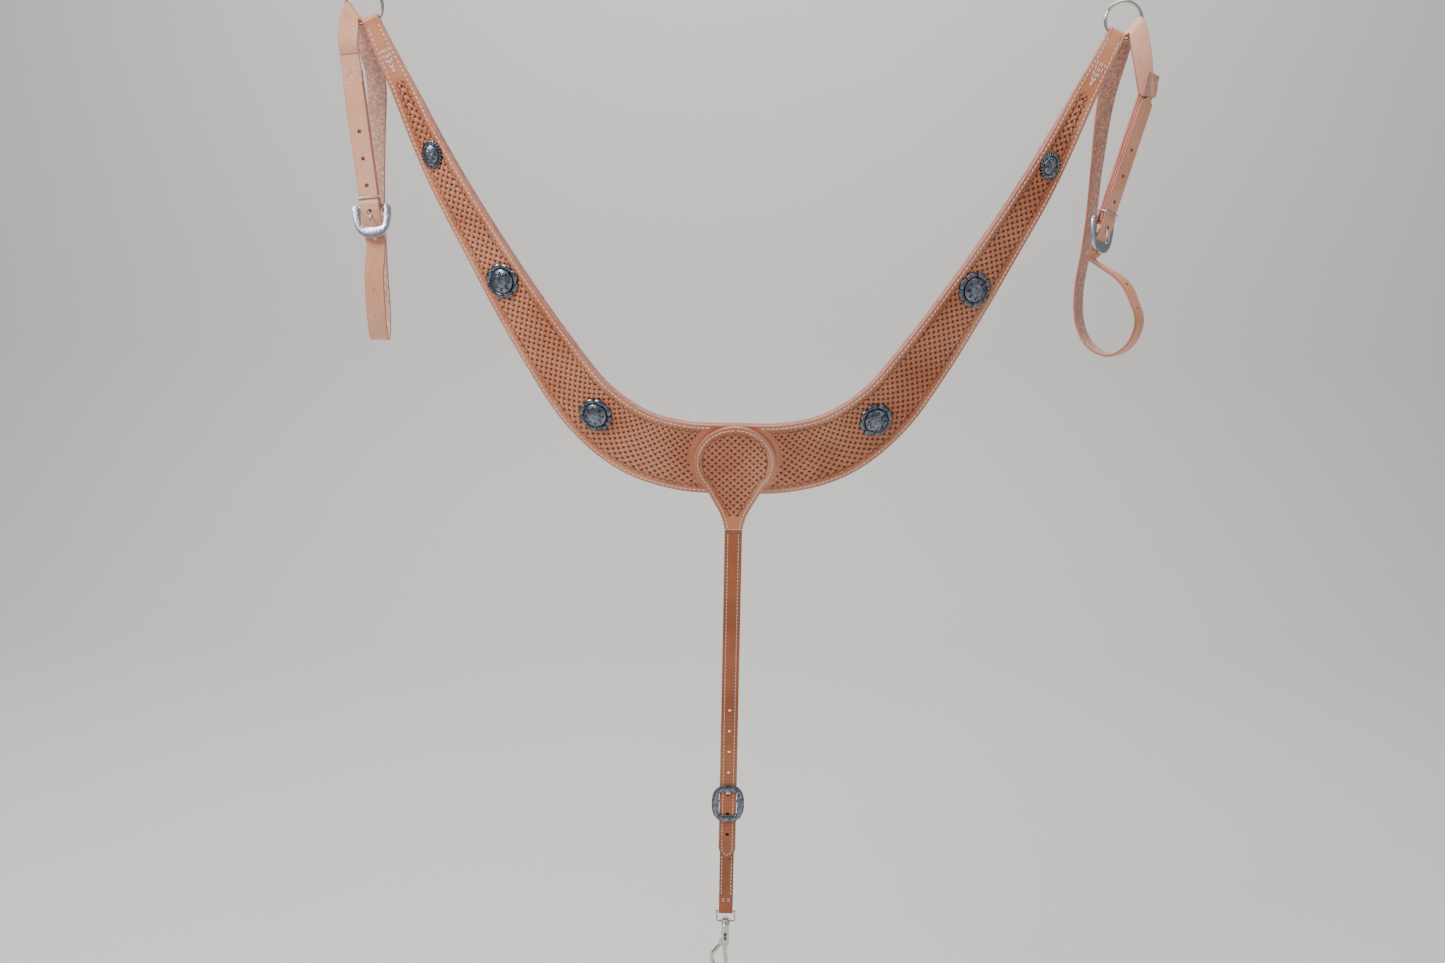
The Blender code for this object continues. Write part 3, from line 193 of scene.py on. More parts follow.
class ShaderBook:
    """Builds the nodes of one material."""

    def __init__(self, name: str) -> None:
        """Starts an empty Principled material.

        Args:
            name: the material's name.
        """
        self.material = bpy.data.materials.new(name)
        self.material.use_nodes = True
        self.tree = self.material.node_tree
        self.shader = self.tree.nodes["Principled BSDF"]
        self.place = self.add("ShaderNodeTexCoord", {}, {}, "Object")

    def add(self, kind: str, settings: dict, values: dict, output: Any = 0) -> Shade:
        """Adds a node, sets it up and fills its sockets.

        Args:
            kind: the node's type.
            settings: node properties, set before the sockets.
            values: socket name or number to a number, tuple or Shade.
            output: name or number of the output that is returned.

        Returns:
            The chosen output.
        """
        node = self.tree.nodes.new(kind)
        for key, value in settings.items():
            setattr(node, key, value)
        for key, value in values.items():
            if isinstance(value, Shade):
                self.tree.links.new(value.socket, node.inputs[key])
            else:
                node.inputs[key].default_value = value
        return Shade(self, node.outputs[output])

    def attribute(self, name: str, output: str = "Fac") -> Shade:
        """Reads a named attribute of the mesh.

        Args:
            name: name of the attribute.
            output: name of the output.

        Returns:
            The value.
        """
        return self.add("ShaderNodeAttribute", {"attribute_name": name}, {}, output)

    def noise(self, scale: float, detail: float = 3.0, stretch: tuple | None = None) -> Shade:
        """Noise from 0 to 1 in the piece's own space.

        Args:
            scale: features per metre.
            detail: octaves.
            stretch: scale along each axis of the strap's own run, or None for plain space.

        Returns:
            The noise value.
        """
        where = self.place
        if stretch:
            where = self.add(
                "ShaderNodeVectorMath",
                {"operation": "MULTIPLY"},
                {0: self.attribute("lay", "Vector"), 1: stretch},
            )
        return self.add("ShaderNodeTexNoise", {}, {"Vector": where, "Scale": scale, "Detail": detail})

    def blend(self, share: Any, first: Any, second: Any) -> Shade:
        """Mixes two colours.

        Args:
            share: 0 for the first colour and 1 for the second.
            first: colour tuple or Shade.
            second: colour tuple or Shade.

        Returns:
            The mixed colour.
        """
        settings = {"data_type": "RGBA", "clamp_factor": True}
        return self.add("ShaderNodeMix", settings, {0: share, 6: first, 7: second}, 2)

    def tint(self, colour: Any, by: Any) -> Shade:
        """Multiplies a colour by a grey value.

        Args:
            colour: colour tuple or Shade.
            by: grey value or Shade.

        Returns:
            The tinted colour.
        """
        grey = self.add("ShaderNodeCombineXYZ", {}, {0: by, 1: by, 2: by})
        first = colour if isinstance(colour, Shade) else colour[:3]
        return self.add("ShaderNodeVectorMath", {"operation": "MULTIPLY"}, {0: first, 1: grey})

    def bump(self, height: Shade, distance: float, strength: float) -> None:
        """Feeds a height to the shader's normal.

        Args:
            height: height from 0 to 1.
            distance: real height of 1, in metres.
            strength: how much of it shows.
        """
        values = {"Height": height, "Distance": distance, "Strength": strength}
        normal = self.add("ShaderNodeBump", {}, values)
        self.tree.links.new(normal.socket, self.shader.inputs["Normal"])

    def feed(self, **sockets: Any) -> None:
        """Links or sets the shader's sockets; underscores stand for spaces.

        Args:
            sockets: socket name to a Shade, number or tuple.
        """
        for name, value in sockets.items():
            socket = self.shader.inputs[name.replace("_", " ").title().replace("Ior", "IOR")]
            if isinstance(value, Shade):
                self.tree.links.new(value.socket, socket)
            else:
                socket.default_value = value


def rgba(red: float, green: float, blue: float) -> tuple:
    """Colour given as display values from 0 to 255, turned to linear light.

    Args:
        red: red, 0 to 255.
        green: green, 0 to 255.
        blue: blue, 0 to 255.

    Returns:
        Red, green, blue and opacity for a socket.
    """
    return tuple((c / 255.0) ** 2.2 for c in (red, green, blue)) + (1.0,)


# ---------------------------------------------------------------- finishes


@dataclass(frozen=True)
class LeatherFinish:
    """Oiled vegetable-tanned leather with a grain side, a flesh side and dressed edges, and painted shade
    in its cuts.
    """

    name: str
    grain: tuple
    light: tuple
    recess: tuple
    edge: tuple
    flesh: tuple
    roughness: float = 0.36
    coat: float = 0.22

    def material(self) -> bpy.types.Material:
        """Builds the material.

        Returns:
            A procedural leather that reads the strap's lay, side and relief.
        """
        book = ShaderBook(self.name)
        side = book.attribute("side")
        relief = book.attribute("relief")
        cloud = book.noise(14.0, 5.0)
        fibre = book.noise(1.0, 4.0, (55.0, 420.0, 420.0))
        speck = book.noise(950.0, 2.0)
        colour = book.blend(cloud.ramp(0.30, 0.72), self.grain, self.light)
        colour = book.tint(colour, 0.86 + 0.28 * fibre)
        colour = book.tint(colour, 0.90 + 0.20 * speck)
        # Lighter patches on the high places only, outside the cuts: partly rubbed wear, partly painted
        # highlight.
        wear_and_painted_highlight = book.noise(60.0, 4.0).ramp(0.50, 0.80) * (1 - relief.ramp(0.0, 0.25))
        colour = book.blend(wear_and_painted_highlight * 0.30, colour, self.light)
        # Painted shade: cuts, tooled lines, creases and stitch channels darken towards the shade colour
        # with the relief mark.
        colour = book.blend(relief.ramp(0.22, 1.0) * 0.94, colour, self.recess)
        flesh = book.blend(book.noise(320.0, 5.0).ramp(0.35, 0.7), self.flesh, self.light)
        flesh = book.tint(flesh, 0.80 + 0.36 * book.noise(1.0, 5.0, (900.0, 900.0, 900.0)))
        plies = book.noise(1.0, 3.0, (30.0, 2600.0, 2600.0)).ramp(0.35, 0.75)
        # The edge's ply lines share that dark colour; they are the leather's own layers.
        edge = book.blend(plies * 0.5, self.edge, self.recess)
        edge = book.tint(edge, 0.88 + 0.26 * book.noise(240.0, 4.0))
        colour = book.blend(1 - side.ramp(0.25, 0.95), colour, edge)
        colour = book.blend(1 - side.ramp(-0.95, -0.35), colour, flesh)
        rough = self.roughness + 0.16 * book.noise(85.0, 4.0) + 0.20 * relief
        rough = rough + 0.28 * (1 - side.ramp(-0.95, -0.35))
        pebble = book.add(
            "ShaderNodeTexVoronoi",
            {"feature": "SMOOTH_F1"},
            {"Vector": book.place, "Scale": 1100.0},
            "Distance",
        )
        height = 0.55 * pebble + 0.45 * book.noise(2100.0, 3.0) + 0.8 * book.noise(210.0, 4.0)
        book.bump(height, 0.00022, 0.55)
        book.feed(base_color=colour, roughness=rough, coat_weight=self.coat, coat_roughness=0.38)
        return book.material


@dataclass(frozen=True)
class SilverFinish:
    """Engraved plate: bright on its high places and black in its cuts."""

    name: str
    plate: tuple
    shadow: tuple
    roughness: float
    tarnish: float

    def material(self) -> bpy.types.Material:
        """Builds the material.

        Returns:
            A metal that darkens with the mesh's relief.
        """
        book = ShaderBook(self.name)
        relief = book.attribute("relief")
        cloud = book.noise(260.0, 5.0)
        cuts = book.noise(1500.0, 3.0)
        # Dark in the engraved cuts (blacking), on backs and undersides (painted shade), and in random
        # tarnish.
        blacking_tarnish_and_shade = relief.ramp(0.12, 0.75)
        blacking_tarnish_and_shade = blacking_tarnish_and_shade + self.tarnish * cloud.ramp(0.35, 0.75)
        colour = book.blend(blacking_tarnish_and_shade, self.plate, self.shadow)
        rough = self.roughness + 0.22 * cloud + 0.22 * blacking_tarnish_and_shade
        book.bump(cuts * 0.5 + book.noise(420.0, 3.0), 0.00006, 0.5)
        book.feed(base_color=colour, roughness=rough, metallic=1.0)
        return book.material


@dataclass(frozen=True)
class NickelFinish:
    """Bright nickel plate with fine wear and a little grime."""

    name: str
    plate: tuple = rgba(206, 204, 200)
    grime: tuple = rgba(92, 84, 74)
    roughness: float = 0.16

    def material(self) -> bpy.types.Material:
        """Builds the material.

        Returns:
            A bright metal with soft smears.
        """
        book = ShaderBook(self.name)
        smear = book.noise(120.0, 5.0)
        fine = book.noise(900.0, 3.0)
        colour = book.blend(smear.ramp(0.52, 0.82) * 0.45, self.plate, self.grime)
        rough = self.roughness + 0.20 * smear.ramp(0.4, 0.8) + 0.06 * fine
        book.bump(fine + 0.6 * book.noise(300.0, 3.0), 0.00004, 0.4)
        book.feed(base_color=colour, roughness=rough, metallic=1.0)
        return book.material


@dataclass(frozen=True)
class ThreadFinish:
    """Waxed linen thread, twisted and a little soiled."""

    name: str
    thread: tuple = rgba(246, 242, 236)
    soil: tuple = rgba(196, 182, 168)

    def material(self) -> bpy.types.Material:
        """Builds the material.

        Returns:
            A pale thread with a twist along each stitch and painted shade in the twist's grooves.
        """
        book = ShaderBook(self.name)
        lay = book.attribute("lay", "Vector")
        parts = book.add("ShaderNodeSeparateXYZ", {}, {0: lay}, "X")
        across = book.add("ShaderNodeSeparateXYZ", {}, {0: lay}, "Y")
        twist = book.add("ShaderNodeMath", {"operation": "SINE"}, {0: parts * 9000.0 + across * 3.0})
        strand = (twist * 0.5 + 0.5).ramp(0.1, 0.9)
        colour = book.blend(book.noise(140.0, 4.0).ramp(0.40, 0.80) * 0.6, self.thread, self.soil)
        # Painted shade: the grooves between the twisted plies are darker.
        colour = book.tint(colour, 0.80 + 0.22 * strand)
        book.bump(strand, 0.00012, 0.6)
        book.feed(base_color=colour, roughness=0.72 + 0.12 * book.noise(300.0))
        return book.material


@dataclass(frozen=True)
class PaintFinish:
    """Plain matt surface of the studio."""

    name: str
    colour: tuple

    def material(self) -> bpy.types.Material:
        """Builds the material.

        Returns:
            The material.
        """
        book = ShaderBook(self.name)
        tone = book.tint(self.colour, 0.99 + 0.02 * book.noise(3.0))
        book.feed(base_color=tone, roughness=0.85 + 0.05 * book.noise(8.0))
        return book.material


RUSSET = LeatherFinish(
    "russet tooled leather",
    rgba(200, 116, 76),
    rgba(226, 150, 112),
    rgba(78, 30, 14),
    rgba(204, 136, 124),
    rgba(196, 150, 126),
)
SADDLE = LeatherFinish(
    "plain russet strap leather",
    rgba(150, 82, 48),
    rgba(180, 106, 68),
    rgba(78, 32, 16),
    rgba(150, 76, 50),
    rgba(186, 140, 116),
)
LINING = LeatherFinish(
    "skirting lining",
    rgba(190, 122, 88),
    rgba(206, 146, 112),
    rgba(110, 62, 42),
    rgba(202, 140, 128),
    rgba(196, 146, 122),
    roughness=0.62,
    coat=0.0,
)
PEACH = LeatherFinish(
    "pale harness leather",
    rgba(234, 156, 118),
    rgba(244, 184, 152),
    rgba(96, 40, 20),
    rgba(206, 126, 106),
    rgba(176, 146, 140),
    roughness=0.40,
)
BLACKED_SILVER = SilverFinish(
    "blacked silver", rgba(146, 152, 166), rgba(10, 11, 14), 0.17, 0.62
)
BRIGHT_SILVER = SilverFinish(
    "bright silver", rgba(214, 218, 228), rgba(58, 64, 78), 0.15, 0.16
)
NICKEL = NickelFinish("bright nickel")
THREAD = ThreadFinish("waxed thread")


class Wardrobe:
    """Makes each finish once and hands it to the pieces."""

    def __init__(self) -> None:
        """Starts with no finish made."""
        self.made: dict[str, bpy.types.Material] = {}

    def dress(self, obj: bpy.types.Object, finish: Any) -> None:
        """Gives a piece its finish.

        Args:
            obj: the piece.
            finish: one of the finish dataclasses.
        """
        if finish.name not in self.made:
            self.made[finish.name] = finish.material()
        obj.data.materials.clear()
        obj.data.materials.append(self.made[finish.name])


# ---------------------------------------------------------------- curves and straps


def smooth_line(points: Sequence, per_span: int) -> Array:
    """Catmull-Rom curve through points of any length; both ends are kept.

    Args:
        points: rows of numbers.
        per_span: samples between two points.

    Returns:
        One row for each sample.
    """
    knots = np.array(points, float)
    knots = np.vstack((2 * knots[0] - knots[1], knots, 2 * knots[-1] - knots[-2]))
    step = np.arange(per_span)[:, None] / per_span
    line = []
    for p0, p1, p2, p3 in zip(knots, knots[1:], knots[2:], knots[3:]):
        ease = (p2 - p0) * step + (2 * p0 - 5 * p1 + 4 * p2 - p3) * step**2
        line.append(p1 + (ease + (3 * p1 - p0 - 3 * p2 + p3) * step**3) / 2)
    return np.vstack((*line, knots[-2]))


def unit(rows: Array) -> Array:
    """Rows scaled to length 1.

    Args:
        rows: vectors along the last axis.

    Returns:
        The unit vectors.
    """
    return rows / np.maximum(np.linalg.norm(rows, axis=-1, keepdims=True), 1e-12)


def along(points: Array) -> Array:
    """Distance of each point from the first one, along the line.

    Args:
        points: the line's points.

    Returns:
        The distances.
    """
    steps = np.linalg.norm(np.diff(points, axis=0), axis=1)
    return np.concatenate(((0.0,), np.cumsum(steps)))


@dataclass
class Lay:
    """A strap's sections: middle, width direction, grain direction and half width of each."""

    pos: Array
    across: Array
    normal: Array
    half: Array

    @property
    def run(self) -> Array:
        """Distance along the strap.

        Returns:
            The distances.
        """
        return along(self.pos)

    def spaced(self, step: float) -> "Lay":
        """The same strap with even sections.

        Args:
            step: distance between sections.

        Returns:
            The resampled strap.
        """
        run = self.run
        count = max(2, int(round(run[-1] / step)) + 1)
        wanted = np.linspace(0.0, run[-1], count)
        table = np.column_stack((self.pos, self.across, self.normal, self.half))
        rows = np.column_stack([np.interp(wanted, run, column) for column in table.T])
        across = unit(rows[:, 3:6])
        normal = rows[:, 6:9]
        normal = unit(normal - across * np.sum(normal * across, axis=1, keepdims=True))
        return Lay(rows[:, :3], across, normal, rows[:, 9])

    def shifted(self, out: float) -> "Lay":
        """The same strap moved out along its grain direction.

        Args:
            out: distance out of the grain side.

        Returns:
            The moved strap.
        """
        return Lay(self.pos + self.normal * out, self.across, self.normal, self.half)

    def at(self, distance: float, v: float, out: float) -> Array:
        """Point at a distance along the strap, across it and out of its grain side.

        Args:
            distance: distance along the strap.
            v: distance from its middle.
            out: distance out of the grain side.

        Returns:
            The point.
        """
        run = self.run
        place = [np.interp(distance, run, column) for column in self.pos.T]
        across = [np.interp(distance, run, column) for column in self.across.T]
        normal = [np.interp(distance, run, column) for column in self.normal.T]
        return np.array(place) + unit(np.array(across)) * v + unit(np.array(normal)) * out


def new_mesh(name: str, points: Array, faces: list) -> bpy.types.Object:
    """Makes a smooth-shaded mesh object.

    Args:
        name: the piece's name.
        points: vertex positions.
        faces: lists of vertex numbers.

    Returns:
        The object, linked to the scene.
    """
    name = name.replace(" ", "_")
    mesh = bpy.data.meshes.new(name)
    mesh.from_pydata([tuple(p) for p in points], [], faces)
    mesh.validate()
    mesh.shade_smooth()
    obj = bpy.data.objects.new(name, mesh)
    bpy.context.scene.collection.objects.link(obj)
    return obj


def write_marks(obj: bpy.types.Object, lay: Array, side: Array, relief: Array) -> None:
    """Stores what the finishes read on each vertex.

    Args:
        obj: the piece.
        lay: run, across and distance to the edge.
        side: 1 on the grain, 0 on the edge and -1 on the flesh.
        relief: darkness, 0 on the surface and 1 in the deepest cut: painted shade on the leather;
            blacking in the silver's cuts, and painted shade on its backs and undersides.
    """
    mesh = obj.data
    for name, kind, key, values in (
        ("lay", "FLOAT_VECTOR", "vector", lay),
        ("side", "FLOAT", "value", side),
        ("relief", "FLOAT", "value", relief),
    ):
        store = mesh.attributes.new(name, kind, "POINT")
        store.data.foreach_set(key, np.asarray(values, np.float32).ravel())


Relief = Callable[[Array, Array, Array], tuple[Array, Array]]


def scrollwork(x: Array, y: Array) -> Array:
    """Engraved leaves and scrolls as depth from 0 to 1.

    Args:
        x: place along the plate, one motif for each 1.
        y: place across it, one motif for each 1.

    Returns:
        Depth of the cuts.
    """
    row = np.floor(y)
    a, b = np.mod(x + 0.5 * row, 1.0) - 0.5, np.mod(y, 1.0) - 0.5
    reach = np.hypot(a, b)
    spiral = np.sin(reach * 26.0 - np.arctan2(b, a) * 2.0)
    vine = 1 - np.abs(spiral) / 0.42
    stem = 1 - np.abs(b - 0.30 * np.sin(2 * math.pi * x)) / 0.10
    return np.clip(np.maximum(vine, stem), 0.0, 1.0) * 0.75


def flat_relief(u: Array, v: Array, edge: Array) -> tuple[Array, Array]:
    """A smooth grain side: no depth and no dark cuts.

    Args:
        u: run along the strap.
        v: distance from its middle.
        edge: distance from its edge.

    Returns:
        Zero depth and darkness.
    """
    return np.zeros_like(u), np.zeros_like(u)


def ply(
    name: str,
    lay: Lay,
    thickness: tuple[float, float],
    columns: int,
    relief: Relief = flat_relief,
    rim: float = 0.0009,
    crown: float = 0.0,
) -> bpy.types.Object:
    """One layer of leather with rounded edges and a worked grain side.

    Args:
        name: the piece's name.
        lay: sections of the strap.
        thickness: flesh and grain offsets from the sections' middle.
        columns: points across the grain side.
        relief: depth in metres and painted shade, as darkness, from run, across and edge distance.
        rim: radius of the edges.
        crown: how much the middle stands above the edges.

    Returns:
        The piece.
    """
    low, high = thickness
    rim = min(rim, (high - low) * 0.49)
    run = lay.run
    share = np.linspace(1.0, -1.0, columns)
    corner = np.radians((22.5, 45.0, 67.5, 90.0))
    flat = lay.half[:, None] - rim
    flat = np.maximum(flat, lay.half[:, None] * 0.3)
    real_rim = lay.half[:, None] - flat
    v_top = flat * share
    edge_top = lay.half[:, None] - np.abs(v_top)
    u_top = np.repeat(run[:, None], columns, axis=1)
    depth, dark = relief(u_top, v_top, edge_top)
    h_top = high - depth + crown * (1 - share**2)
    ones = np.ones_like(flat)
    right_v = -(flat + real_rim * np.sin(corner))
    right_h = (high - rim) * ones + rim * np.cos(corner)
    lower_v = right_v[:, ::-1]
    lower_h = (low + rim) * ones - rim * np.cos(corner[::-1])
    under = np.linspace(-1.0, 1.0, 9)
    v = np.hstack((v_top, right_v, lower_v, flat * under, -lower_v[:, ::-1], -right_v[:, ::-1]))
    h_under = np.full((len(run), 9), low)
    h = np.hstack((h_top, right_h, lower_h, h_under, lower_h[:, ::-1], right_h[:, ::-1]))
    round_side = np.tile((0.55, 0.25, 0.0, 0.0), (len(run), 1))
    lower_side = -round_side[:, ::-1]
    side = np.hstack(
        (
            np.ones_like(v_top),
            round_side,
            lower_side,
            -np.ones_like(h_under),
            lower_side[:, ::-1],
            round_side[:, ::-1],
        )
    )
    cut_shade_marks = np.zeros_like(v)
    cut_shade_marks[:, :columns] = dark
    ring = v.shape[1]
    points = lay.pos[:, None, :] + lay.across[:, None, :] * v[:, :, None]
    points = points + lay.normal[:, None, :] * h[:, :, None]
    faces = []
    for i in range(len(run) - 1):
        a, b = i * ring, (i + 1) * ring
        faces += [(a + j, a + (j + 1) % ring, b + (j + 1) % ring, b + j) for j in range(ring)]
    last = (len(run) - 1) * ring
    faces.append(tuple(reversed(range(ring))))
    faces.append(tuple(last + j for j in range(ring)))
    obj = new_mesh(name, points.reshape(-1, 3), faces)
    u = np.repeat(run[:, None], ring, axis=1)
    marks = np.stack((u, v, lay.half[:, None] - np.abs(v)), axis=-1).reshape(-1, 3)
    write_marks(obj, marks, side.ravel(), cut_shade_marks.ravel())
    return obj


def punch(obj: bpy.types.Object, cutters: list[bpy.types.Object]) -> None:
    """Cuts real holes and keeps what the finish reads.

    Args:
        obj: the strap.
        cutters: closed tools, which are removed.
    """
    mesh = obj.data
    count = len(mesh.vertices)
    old = {}
    places = np.empty(count * 3)
    mesh.vertices.foreach_get("co", places)
    places = places.reshape(-1, 3)
    for name, key, width in (("lay", "vector", 3), ("side", "value", 1), ("relief", "value", 1)):
        values = np.empty(count * width)
        mesh.attributes[name].data.foreach_get(key, values)
        old[name] = values.reshape(count, width)
    tree = KDTree(count)
    for index, place in enumerate(places):
        tree.insert(place, index)
    tree.balance()
    for tool in cutters:
        step = obj.modifiers.new("hole", "BOOLEAN")
        step.operation = "DIFFERENCE"
        step.solver = "EXACT"
        step.object = tool
    bpy.context.view_layer.update()
    graph = bpy.context.evaluated_depsgraph_get()
    fresh = bpy.data.meshes.new_from_object(obj.evaluated_get(graph))
    obj.modifiers.clear()
    obj.data = fresh
    for tool in cutters:
        bpy.data.objects.remove(tool)
    for name in ("lay", "side", "relief"):
        if name in fresh.attributes:
            fresh.attributes.remove(fresh.attributes[name])
    nearest = [tree.find(vertex.co) for vertex in fresh.vertices]
    order = np.array([found[1] for found in nearest])
    far = np.array([found[2] for found in nearest])
    side = old["side"][order, 0]
    relief = old["relief"][order, 0]
    wall = far > 0.0004
    side[wall] = 0.0
    relief[wall] = 0.9
    write_marks(obj, old["lay"][order], side, relief)


def tool_cylinder(centre: Array, axis: Array, radius: float, length: float) -> bpy.types.Object:
    """A closed round cutter.

    Args:
        centre: middle point.
        axis: direction of the axis.
        radius: radius.
        length: length.

    Returns:
        The cutter.
    """
    turns = np.linspace(0.0, 2 * math.pi, 28, endpoint=False)
    first = unit(np.cross(axis, UP if abs(axis[2]) < 0.8 else RIGHT))
    second = np.cross(unit(axis), first)
    ring = np.outer(np.cos(turns), first) * radius + np.outer(np.sin(turns), second) * radius
    low = centre - unit(axis) * length / 2 + ring
    high = centre + unit(axis) * length / 2 + ring
    count = len(turns)
    faces = [(i, (i + 1) % count, count + (i + 1) % count, count + i) for i in range(count)]
    faces += [tuple(reversed(range(count))), tuple(range(count, 2 * count))]
    return new_mesh("cutter", np.vstack((low, high)), faces)


def rod(
    name: str, points: Sequence, radius: float, closed: bool = False, sides: int = 14
) -> bpy.types.Object:
    """A round wire or bar along points.

    Args:
        name: the piece's name.
        points: centre line.
        radius: wire radius.
        closed: whether the line is a loop.
        sides: points round the wire.

    Returns:
        The piece.
    """
    line = np.array(points, float)
    count = len(line)
    if closed:
        ahead = unit(np.roll(line, -1, axis=0) - np.roll(line, 1, axis=0))
    else:
        ahead = unit(np.gradient(line, axis=0))
    first = np.empty_like(line)
    guide = UP if abs(ahead[0][2]) < 0.9 else RIGHT
    for index, direction in enumerate(ahead):
        guide = guide - direction * np.dot(guide, direction)
        guide = guide / np.linalg.norm(guide)
        first[index] = guide
    second = np.cross(ahead, first)
    turns = np.linspace(0.0, 2 * math.pi, sides, endpoint=False)
    ring = first[:, None, :] * np.cos(turns)[None, :, None]
    ring = ring + second[:, None, :] * np.sin(turns)[None, :, None]
    verts = (line[:, None, :] + ring * radius).reshape(-1, 3)
    faces = []
    spans = count if closed else count - 1
    for i in range(spans):
        a, b = i * sides, ((i + 1) % count) * sides
        faces += [(a + j, a + (j + 1) % sides, b + (j + 1) % sides, b + j) for j in range(sides)]
    if not closed:
        faces.append(tuple(reversed(range(sides))))
        faces.append(tuple((count - 1) * sides + j for j in range(sides)))
    obj = new_mesh(name, verts, faces)
    obj.data.set_sharp_from_angle(angle=math.radians(50.0))
    return obj


def arc(
    centre: Array, first: Array, second: Array, radius: float, span: tuple, count: int
) -> Array:
    """Points on an arc in the plane of two unit vectors, angles in degrees.

    Args:
        centre: middle point.
        first: first unit vector.
        second: second unit vector.
        radius: radius.
        span: first and last angle.
        count: number of steps.

    Returns:
        The points.
    """
    turn = np.radians(np.linspace(span[0], span[1], count + 1))
    return centre + (np.outer(np.cos(turn), first) + np.outer(np.sin(turn), second)) * radius


def engraved_frame(name: str, top: Array, bottom: Array, closed: bool) -> bpy.types.Object:
    """A buckle's plate between its window and its outline.

    Args:
        name: the piece's name.
        top: grid of front points, round the frame and outwards.
        bottom: the same grid on the back.
        closed: whether the frame goes all the way round, anticlockwise.

    Returns:
        The piece.
    """
    steps, rings = top.shape[:2]
    half = steps * rings
    faces = []
    for i in range(steps if closed else steps - 1):
        k = (i + 1) % steps
        for j in range(rings - 1):
            a, b = i * rings + j, k * rings + j
            faces.append((a, a + 1, b + 1, b))
            faces.append((half + a, half + b, half + b + 1, half + a + 1))
        a, b = i * rings, k * rings
        faces.append((a, b, half + b, half + a))
        a, b = a + rings - 1, b + rings - 1
        faces.append((a, half + a, half + b, b))
    if closed:
        faces = [face[::-1] for face in faces]
    else:
        for j in range(rings - 1):
            a = (steps - 1) * rings + j
            faces.append((j, half + j, half + j + 1, j + 1))
            faces.append((a, a + 1, half + a + 1, half + a))
    frame = new_mesh(name, np.vstack((top.reshape(-1, 3), bottom.reshape(-1, 3))), faces)
    frame.data.set_sharp_from_angle(angle=math.radians(48.0))
    return frame


def mark_plate(frame: bpy.types.Object, cut: Array, back: float) -> None:
    """Stores the engraving and the back's painted shade that the silver finish reads.

    Args:
        frame: the buckle's plate.
        cut: engraving of its front.
        back: painted shade on its back, as darkness.
    """
    marks = np.concatenate((cut.ravel(), np.full(cut.size, back)))
    write_marks(frame, np.zeros((len(marks), 3)), np.ones(len(marks)), marks)


@dataclass(frozen=True)
class Stitching:
    """A row of thread stitches laid along a line on the leather."""

    pitch: float = 0.0049
    length: float = 0.0041
    radius: float = 0.00060
    slant: float = 0.14

    def row(self, line: Array, out: Array) -> tuple[Array, Array, list]:
        """Meshes one row.

        Args:
            line: points on the leather.
            out: grain direction at each point.

        Returns:
            Vertices, the marks of each, and faces.
        """
        run = along(line)
        count = int(run[-1] / self.pitch)
        verts, marks, faces = [], [], []
        ring, sections = 6, np.array((-1.0, -0.8, -0.3, 0.3, 0.8, 1.0))
        widths = np.array((0.25, 0.75, 1.0, 1.0, 0.75, 0.25))
        turns = np.linspace(0.0, 2 * math.pi, ring, endpoint=False)
        for index in range(count):
            middle = (index + 0.5) * run[-1] / count
            sample = np.array([np.interp(middle + d, run, c) for d in (-1e-3, 0, 1e-3) for c in line.T])
            before, place, after = sample.reshape(3, 3)
            normal = unit(np.array([np.interp(middle, run, c) for c in out.T]))
            ahead = unit(after - before)
            sideways = np.cross(normal, ahead)
            ahead = unit(ahead + sideways * self.slant)
            sideways = np.cross(normal, ahead)
            start = len(verts)
            for section, width in zip(sections, widths):
                lift = 0.55 - 0.75 * abs(section) ** 2
                heart = place + ahead * section * self.length / 2 + normal * self.radius * lift
                for turn in turns:
                    offset = sideways * math.cos(turn) + normal * math.sin(turn)
                    verts.append(heart + offset * self.radius * width)
                    marks.append((middle + section * self.length / 2, math.sin(turn), 0.0))
            for i in range(len(sections) - 1):
                a, b = start + i * ring, start + (i + 1) * ring
                faces += [(a + j, a + (j + 1) % ring, b + (j + 1) % ring, b + j) for j in range(ring)]
            faces.append(tuple(reversed(range(start, start + ring))))
            last = start + (len(sections) - 1) * ring
            faces.append(tuple(range(last, last + ring)))
        return np.array(verts), np.array(marks), faces

    def sew(self, name: str, rows: list[tuple[Array, Array]]) -> bpy.types.Object:
        """Joins several rows in one piece.

        Args:
            name: the piece's name.
            rows: line and grain directions of each row.

        Returns:
            The piece.
        """
        verts, marks, faces, total = [], [], [], 0
        for line, out in rows:
            if len(line) < 2 or along(line)[-1] < self.pitch:
                continue
            row_verts, row_marks, row_faces = self.row(line, out)
            verts.append(row_verts)
            marks.append(row_marks)
            faces += [tuple(total + i for i in face) for face in row_faces]
            total += len(row_verts)
        obj = new_mesh(name, np.vstack(verts), faces)
        zero = np.zeros(total)
        write_marks(obj, np.vstack(marks), zero, zero)
        return obj


